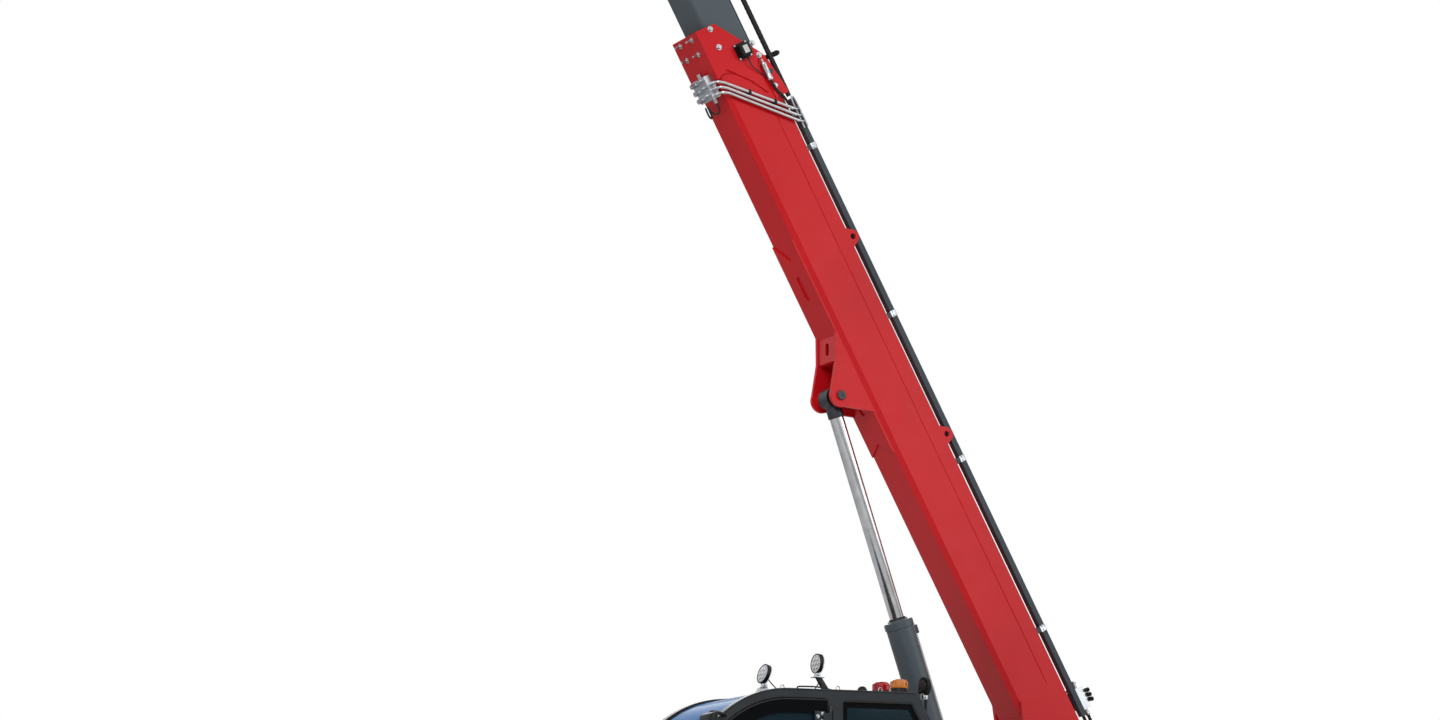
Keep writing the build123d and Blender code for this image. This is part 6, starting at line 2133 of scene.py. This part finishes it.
# ---- Chassis ----------------------------------------------------------------------------
@dataclass
class Chassis(SubAssembly):
    """Locker doors, treads, lamps, drive line and steering on the carrier."""

    body: str = "chassis"
    half_base: float = 1.600
    frame_end: float = 3.050
    locker_y: float = 1.235
    axle_z: float = 0.575

    def lockers(self) -> None:
        """Hangs the locker doors with latches, and bars the step treads."""
        for side, word in SIDES:
            y = side * self.locker_y
            door = Blank.plate(f"locker_door_{word}", [
                (-0.70, y - side * 0.002, 0.51), (0.14, y - side * 0.002, 0.51),
                (0.14, y - side * 0.002, 1.02), (-0.70, y - side * 0.002, 1.02),
            ], (0, side * 0.010, 0)).inset(lambda c, n: n.y * side > 0.9, 0.035, -0.003)
            door.ease(0.003, 2)
            self.fit(door, Coat.grey_paint)
            latch = Blank.turned(
                f"locker_latches_{word}",
                ((0.0, 0.0), (0.018, 0.0), (0.018, 0.006), (0.012, 0.008), (0.006, 0.004),
                 (0.0, 0.004)),
                (-0.62, y + side * 0.006, 0.96), (0, side, 0), 24,
            )
            latch.add(latch.twin(shift(0.68, 0, 0)))
            self.fit(latch, Coat.zinc)
            bars = []
            for low in (0.53, 0.80):
                bar = Blank.block(f"step_treads_{word}", (0.19, y - side * 0.165, low + 0.001),
                                  (0.205, y - side * 0.002, low + 0.012)).ease(0.002, 1)
                bars.append(bar.at_each([shift(0.032 * index, 0, 0) for index in range(15)]))
            self.fit(all_in_one(bars), Coat.zinc)

    def lamps(self) -> None:
        """Replaces the lamp blocks by housings with amber, red and clear lenses."""
        for end, place in ENDS:
            for side, hand in SIDES:
                word, inner = f"{place}_{hand}", Coat.lens if end > 0 else Coat.ruby
                y, x = side * 0.65, end * self.frame_end
                low, high = sorted((x, x + end * 0.028))
                box = Blank.block(f"lamp_housing_{word}", (low, y - 0.09, 0.97),
                                  (high, y + 0.09, 1.07))
                box.inset(lambda c, n: n.x * end > 0.9, 0.006, -0.004).ease(0.005, 2)
                self.fit(box, Coat.lamp_black, stands_for=("chassis_lamps",))
                for coat, a, b in ((Coat.amber, 0.004, 0.082), (inner, -0.082, -0.004)):
                    y0, y1 = sorted((y + side * a, y + side * b))
                    x0, x1 = sorted((x + end * 0.022, x + end * 0.040))
                    lens = Blank.block(f"{coat.name}_lens_{word}", (x0, y0, 0.978),
                                       (x1, y1, 1.062))
                    lens.ease(0.006, 3)
                    self.fit(lens, coat, stands_for=("chassis_lamps",))

    def driveline(self) -> None:
        """Runs the drive shafts, the steering cylinders and track rods of both axles."""
        z = self.axle_z
        for end, word in ENDS:
            x = end * self.half_base
            shaft = Blank.turned(
                f"drive_shaft_{word}",
                ((0.0, 0.0), (0.075, 0.0), (0.075, 0.03), (0.045, 0.05), (0.035, 0.09),
                 (0.035, 0.36), (0.048, 0.40), (0.05, 0.44), (0.0, 0.44)),
                (x - end * 0.205, 0, z), (-end, 0, 0.02), 28,
            )
            self.fit(shaft, Coat.iron)
            rod_x = x + end * 0.215
            barrel = Blank.turned(
                f"steering_cylinder_{word}",
                ((0.0, -0.26), (0.040, -0.26), (0.043, -0.25), (0.043, 0.25), (0.040, 0.26),
                 (0.0, 0.26)),
                (rod_x, 0, z - 0.02), (0, 1, 0), 28,
            )
            bracket = Blank.block("bracket", (min(x, rod_x), -0.10, z - 0.05),
                                  (max(x, rod_x), 0.10, z + 0.01))
            bracket.ease(0.008, 1)
            self.fit(barrel.add(bracket), Coat.iron)
            rods = Blank.bar(f"steering_rods_{word}", (rod_x, -0.50, z - 0.02),
                             (rod_x, 0.50, z - 0.02), 0.019, 20)
            rods.ease(0.003, 1)
            self.fit(rods, Coat.chrome)
            places = [(x + i * 0.10, y + 0.055 * j, 0.80 - 0.003)
                      for i in (-1, 1) for y in (-0.3, 0.3) for j in (-0.5, 0.5)]
            self.bolt(f"axle_saddle_bolts_{word}", places, (0, 0, -1), 0.03)

    def frame_ends(self) -> None:
        """Sets the tow pins and the frame bolts, the hull's pipes and the mudflaps."""
        for end, word in ENDS:
            x = end * self.frame_end
            pin = Blank.turned(
                f"tow_pin_{word}",
                ((0.0, 0.0), (0.030, 0.0), (0.030, 0.02), (0.045, 0.022), (0.045, 0.036),
                 (0.018, 0.040), (0.0, 0.040)),
                (x - end * 0.012, 0, 0.560), (end, 0, 0), 28,
            )
            self.fit(pin, Coat.zinc)
            edge = [(x + end * 0.001, y, z)
                    for y in (-0.68, -0.35, 0.35, 0.68) for z in (0.70, 0.90)]
            self.bolt(f"frame_bolts_{word}", edge, (end, 0, 0), 0.028)
        for side, word in SIDES:
            y = side * 0.408
            lines = [Blank.tube(f"hull_pipes_{word}", [
                (-1.0, y, level), (-0.5, y, level), (0.4, y, level), (1.0, y, level),
            ], 0.009, 2) for level in (1.075, 1.098)]
            clip = Blank.block("clip", (-0.90, y - 0.012, 1.062), (-0.87, y + 0.014, 1.112))
            clip.ease(0.003, 1)
            lines.append(clip.at_each([shift(0.6 * index, 0, 0) for index in range(4)]))
            self.fit(all_in_one(lines), Coat.zinc)
            low, high = sorted((side * 0.82, side * 1.23))
            flap = Blank.block(f"mudflap_{word}", (-2.240, low, 1.02), (-2.228, high, 1.150))
            flap.ease(0.004, 1)
            self.fit(flap, Coat.gasket)

    def build(self) -> None:
        """Makes the carrier's pieces."""
        self.lockers()
        self.lamps()
        self.driveline()
        self.frame_ends()


@dataclass
class Outrigger(SubAssembly):
    """One stabiliser's pin cap, beam mouth, hose, foot ribs and reflector."""

    word: str = "front_left"
    side: int = 1
    stowed_rise: float = 8.0
    leg_along: float = 1.44

    def build(self) -> None:
        """Makes the stabiliser's pieces, in its beam's own frame."""
        pivot = JOINTS[f"swing_{self.word}"]["pos_m"]
        self.place = shift(*pivot) @ turn(90 * self.side, "Z") @ turn(-self.stowed_rise, "Y")
        beam, foot = f"outrigger_{self.word}", f"foot_{self.word}"
        pin = Blank.turned(
            f"beam_pin_cap_{self.word}",
            ((0.0, 0.0), (0.05, 0.0), (0.05, 0.006), (0.044, 0.010), (0.0, 0.010)),
            (0, 0.106, 0), (0, 1, 0), 28,
        )
        pin.add(hex_bolts("bolt", [(0.0, 0.115, 0.0)], (0, 1, 0), 0.03))
        self.fit(pin, Coat.zinc, body="chassis")
        collar = Blank.ring(f"beam_mouth_{self.word}", [
            (1.338, -0.112, -0.112), (1.338, 0.112, -0.112), (1.338, 0.112, 0.112),
            (1.338, -0.112, 0.112),
        ], 0.022, (-0.035, 0, 0)).ease(0.003, 1)
        self.fit(collar, Coat.grey_paint, body=beam)
        hose = Blank.tube(f"leg_hose_{self.word}", [
            (1.30, 0.06, 0.108), (1.34, 0.06, 0.125), (1.40, 0.05, 0.118), (1.44, 0.04, 0.086),
        ], 0.009, 2)
        self.fit(hose, Coat.hose, body=foot)
        sleeve = Blank.turned(
            f"foot_sleeve_{self.word}",
            ((0.0555, 0.0), (0.075, 0.0), (0.078, 0.006), (0.078, 0.03), (0.066, 0.045),
             (0.0555, 0.045)),
            (self.leg_along, 0, -0.446), (0, 0, 1), 32,
        )
        ribs = Blank.block("rib", (0.07, -0.008, -0.447), (0.19, 0.008, -0.425)).ease(0.003, 1)
        spread = ribs.at_each([turn(45 * index, "Z") for index in range(8)])
        spread.move(shift(self.leg_along, 0, 0))
        self.fit(sleeve.add(spread), Coat.grey_paint, body=foot)
        band = Blank.block(f"leg_reflector_{self.word}", (1.508, -0.04, -0.20),
                           (1.512, 0.04, 0.02))
        band.ease(0.001, 1)
        self.fit(band, Coat.amber, body=foot)


@dataclass
class Wheel(SubAssembly):
    """One wheel: the lugged tyre, the nuts, the hub cover's screws and the valve."""

    word: str = "front_left"
    side: int = 1
    radius: float = 0.575
    width: float = 0.440
    bead: float = 0.292
    lugs: int = 20
    disc_face: float = 0.078
    nut_circle: float = 0.172
    cover_face: float = 0.210
    screw_circle: float = 0.085

    def around(
        self, name: str, radius: float, count: int, step: float, face: float, flats: float
    ) -> Blank:
        """Stands bolt heads round the hub.

        Args:
            name: The piece's name.
            radius: The bolt circle's radius.
            count: How many heads.
            step: How far the first is turned, as a share of the pitch.
            face: How far out the surface is.
            flats: The heads' width.

        Returns:
            The heads as one piece.
        """
        angles = [2 * math.pi * (index + step) / count for index in range(count)]
        places = [(radius * math.cos(a), self.side * face, radius * math.sin(a)) for a in angles]
        return hex_bolts(f"{name}_{self.word}", places, (0, self.side, 0), flats)

    def tyre(self) -> None:
        """Builds the tyre in place of the plain one: carcass, beads, ribs and bar lugs."""
        half, shoulder = self.width / 2, self.radius - 0.024
        rows = [
            (self.bead, -half + 0.07), (self.bead + 0.012, -half + 0.052),
            (self.bead + 0.022, -half + 0.05), (self.bead + 0.05, -half + 0.022),
            (self.bead + 0.075, -half + 0.010), (self.bead + 0.082, -half + 0.013),
            (self.bead + 0.14, -half), (self.bead + 0.18, -half + 0.001),
            (shoulder - 0.06, -half + 0.006), (shoulder - 0.02, -half + 0.018),
            (shoulder, -half + 0.045), (shoulder + 0.004, 0.0),
        ]
        rows += [(r, -y) for r, y in reversed(rows[:-1])]
        tyre = Blank.turned(f"tyre_{self.word}_tread", rows, (0, 0, 0), (0, 1, 0), 80)
        bar = Blank.plate("lug", [
            (-0.028, 0.012, shoulder - 0.012), (0.030, 0.012, shoulder - 0.012),
            (0.082, 0.118, shoulder - 0.018), (0.100, 0.214, shoulder - 0.040),
            (0.036, 0.214, shoulder - 0.040), (0.022, 0.118, shoulder - 0.018),
        ], (0, 0, 0.030))
        for vertex in bar.thing.data.vertices:
            top = vertex.co.z > shoulder
            limit = self.radius - 0.0005 if top else shoulder - 0.014
            fall = max(0.0, vertex.co.y - 0.12) * 0.28
            reach = math.hypot(vertex.co.x, vertex.co.z)
            vertex.co.x *= (limit - fall) / reach
            vertex.co.z *= (limit - fall) / reach
        bar.ease(0.004, 2, 30)
        pitch = 360 / self.lugs
        other = bar.twin(Matrix.Scale(-1, 4, (0, 1, 0)) @ turn(pitch / 2, "Y"))
        lugs = bar.at_each([turn(pitch * index, "Y") for index in range(self.lugs)])
        more = other.at_each([turn(pitch * index, "Y") for index in range(self.lugs)])
        tyre.add(lugs, more)
        self.fit(tyre, Coat.rubber, stands_for=(f"tyre_{self.word}",), smooth=38.0)

    def hub(self) -> None:
        """Bolts the rim on: nuts, the cover's screws and plug, the rim's flange and the valve."""
        nuts = self.around("wheel_nuts", self.nut_circle, 10, 0.5, self.disc_face, 0.032)
        self.fit(nuts, Coat.zinc)
        heads = self.around("hub_screws", self.screw_circle, 8, 0.0, self.cover_face, 0.018)
        plug = hex_bolts("plug", [(0, self.side * self.cover_face, 0)], (0, self.side, 0), 0.034)
        self.fit(heads.add(plug), Coat.zinc)
        bead = Blank.turned(
            f"rim_flange_{self.word}",
            ((0.266, 0.0), (0.300, 0.0), (0.304, 0.006), (0.300, 0.012), (0.284, 0.010),
             (0.276, 0.004), (0.266, 0.004)),
            (0, self.side * 0.152, 0), (0, self.side, 0), 64,
        )
        self.fit(bead, Coat.rim_paint)
        valve = Blank.tube(f"valve_{self.word}", [
            (0.235, self.side * 0.075, 0), (0.245, self.side * 0.10, 0),
            (0.250, self.side * 0.135, 0),
        ], 0.005, 2)
        self.fit(valve, Coat.zinc)

    def build(self) -> None:
        """Makes the wheel's pieces round its spin axis."""
        self.place = shift(*JOINTS[f"spin_{self.word}"]["pos_m"])
        self.tyre()
        self.hub()


# ---- Studio -----------------------------------------------------------------------------
@dataclass
class Studio:
    """The camera, soft lamps, world and floor."""

    place: Vector = field(default_factory=lambda: Vector((10.926, 19.231, 0.68)))
    heading: float = 150.56
    pitch: float = 12.38
    roll: float = 0.59
    lens: float = 77.95
    floor_size: float = 300.0
    soft_sky: float = 0.40

    def camera(self) -> None:
        """Sets the camera low in front of the machine's left, looking up at the boom."""
        data = bpy.data.cameras.new("camera")
        camera = bpy.data.objects.new("camera", data)
        bpy.context.scene.collection.objects.link(camera)
        place = Matrix.Translation(self.place) @ turn(self.heading, "Z")
        camera.matrix_world = place @ turn(90 + self.pitch, "X") @ turn(self.roll, "Z")
        data.sensor_width = 36.0
        data.lens = self.lens
        data.clip_end = 300.0
        bpy.context.scene.camera = camera

    def lamp(self, name: str, place: Sequence[float], size: float, watts: float) -> None:
        """Adds one soft area lamp aimed at the machine's middle.

        Args:
            name: The lamp's name.
            place: Where it hangs, in metres.
            size: The side of its square face.
            watts: Its power.
        """
        data = bpy.data.lights.new(name, "AREA")
        data.size = size
        data.energy = watts
        lamp = bpy.data.objects.new(name, data)
        bpy.context.scene.collection.objects.link(lamp)
        lamp.location = place
        aim = Vector((0.0, 0.0, 4.0)) - lamp.location
        lamp.rotation_euler = aim.to_track_quat("-Z", "Y").to_euler()

    def world(self) -> None:
        """Gives a plain soft sky, white where the camera and reflections see it."""
        world = bpy.data.worlds.new("studio")
        world.use_nodes = True
        tree = world.node_tree
        tree.nodes.clear()
        rays = add_node(tree, "LightPath").outputs
        seen = add_node(
            tree, "Math", {"0": rays["Is Camera Ray"], "1": rays["Is Glossy Ray"]},
            operation="MAXIMUM",
        )
        through = add_node(
            tree, "Math", {"0": seen.outputs["Value"], "1": rays["Is Transmission Ray"]},
            operation="MAXIMUM",
        )
        soft, white = (
            add_node(tree, "Background", {"Color": (1, 1, 1, 1), "Strength": strength})
            for strength in (self.soft_sky, 1.0)
        )
        mixed = add_node(tree, "MixShader", {
            "Fac": through.outputs["Value"],
            "1": soft.outputs["Background"],
            "2": white.outputs["Background"],
        })
        add_node(tree, "OutputWorld", {"Surface": mixed.outputs["Shader"]})
        bpy.context.scene.world = world

    def floor(self) -> None:
        """Lays the plain pale floor, which keeps the machine's shadow."""
        bpy.ops.object.select_all(action="DESELECT")
        bpy.ops.mesh.primitive_plane_add(size=self.floor_size, location=(0, 0, 0))
        floor = bpy.context.object
        floor.name = "studio_floor"
        made = bpy.data.materials.new("pale_matt_floor")
        made.use_nodes = True
        tree = made.node_tree
        tree.nodes.clear()
        place = add_node(tree, "TexCoord").outputs["Object"]
        cloud = add_node(tree, "TexNoise", {"Vector": place, "Scale": 0.3})
        colour = add_node(
            tree, "ValToRGB", {"Fac": cloud.outputs["Fac"]}, ((0.3, "F0F0F1"), (0.7, "F4F4F5"))
        )
        shader = add_node(
            tree, "BsdfPrincipled", {"Base Color": colour.outputs["Color"], "Roughness": 0.9}
        )
        add_node(tree, "OutputMaterial", {"Surface": shader.outputs["BSDF"]})
        floor.data.materials.append(made)

    def build(self) -> None:
        """Sets up the whole studio."""
        bpy.context.scene.view_settings.view_transform = "Standard"
        self.camera()
        self.world()
        self.floor()
        self.lamp("key", (9.0, 15.0, 13.0), 9.0, 1350.0)
        self.lamp("fill", (-12.0, 12.0, 9.0), 9.0, 420.0)
        self.lamp("back", (-6.0, -14.0, 12.0), 8.0, 800.0)


CORNERS = (("front_left", 1), ("front_right", -1), ("rear_left", 1), ("rear_right", -1))


def main() -> None:
    """Builds the studio, the finishes and each sub-assembly's fine pieces."""
    Studio().build()
    wardrobe = Wardrobe()
    wardrobe.dress_frame()
    assemblies = [
        BoomBase(wardrobe),
        BoomSections(wardrobe),
        LiftCylinder(wardrobe),
        ForkHead(wardrobe),
        Cab(wardrobe),
        CabInside(wardrobe),
        Turret(wardrobe),
        Chassis(wardrobe),
    ]
    for word, side in CORNERS:
        assemblies.append(Outrigger(wardrobe, word=word, side=side))
        assemblies.append(Wheel(wardrobe, body=f"wheel_{word}", word=word, side=side))
    for assembly in assemblies:
        assembly.build()
        LOG.info("%s: %d pieces", type(assembly).__name__, assembly.count)


if __name__ == "__main__":
    main()
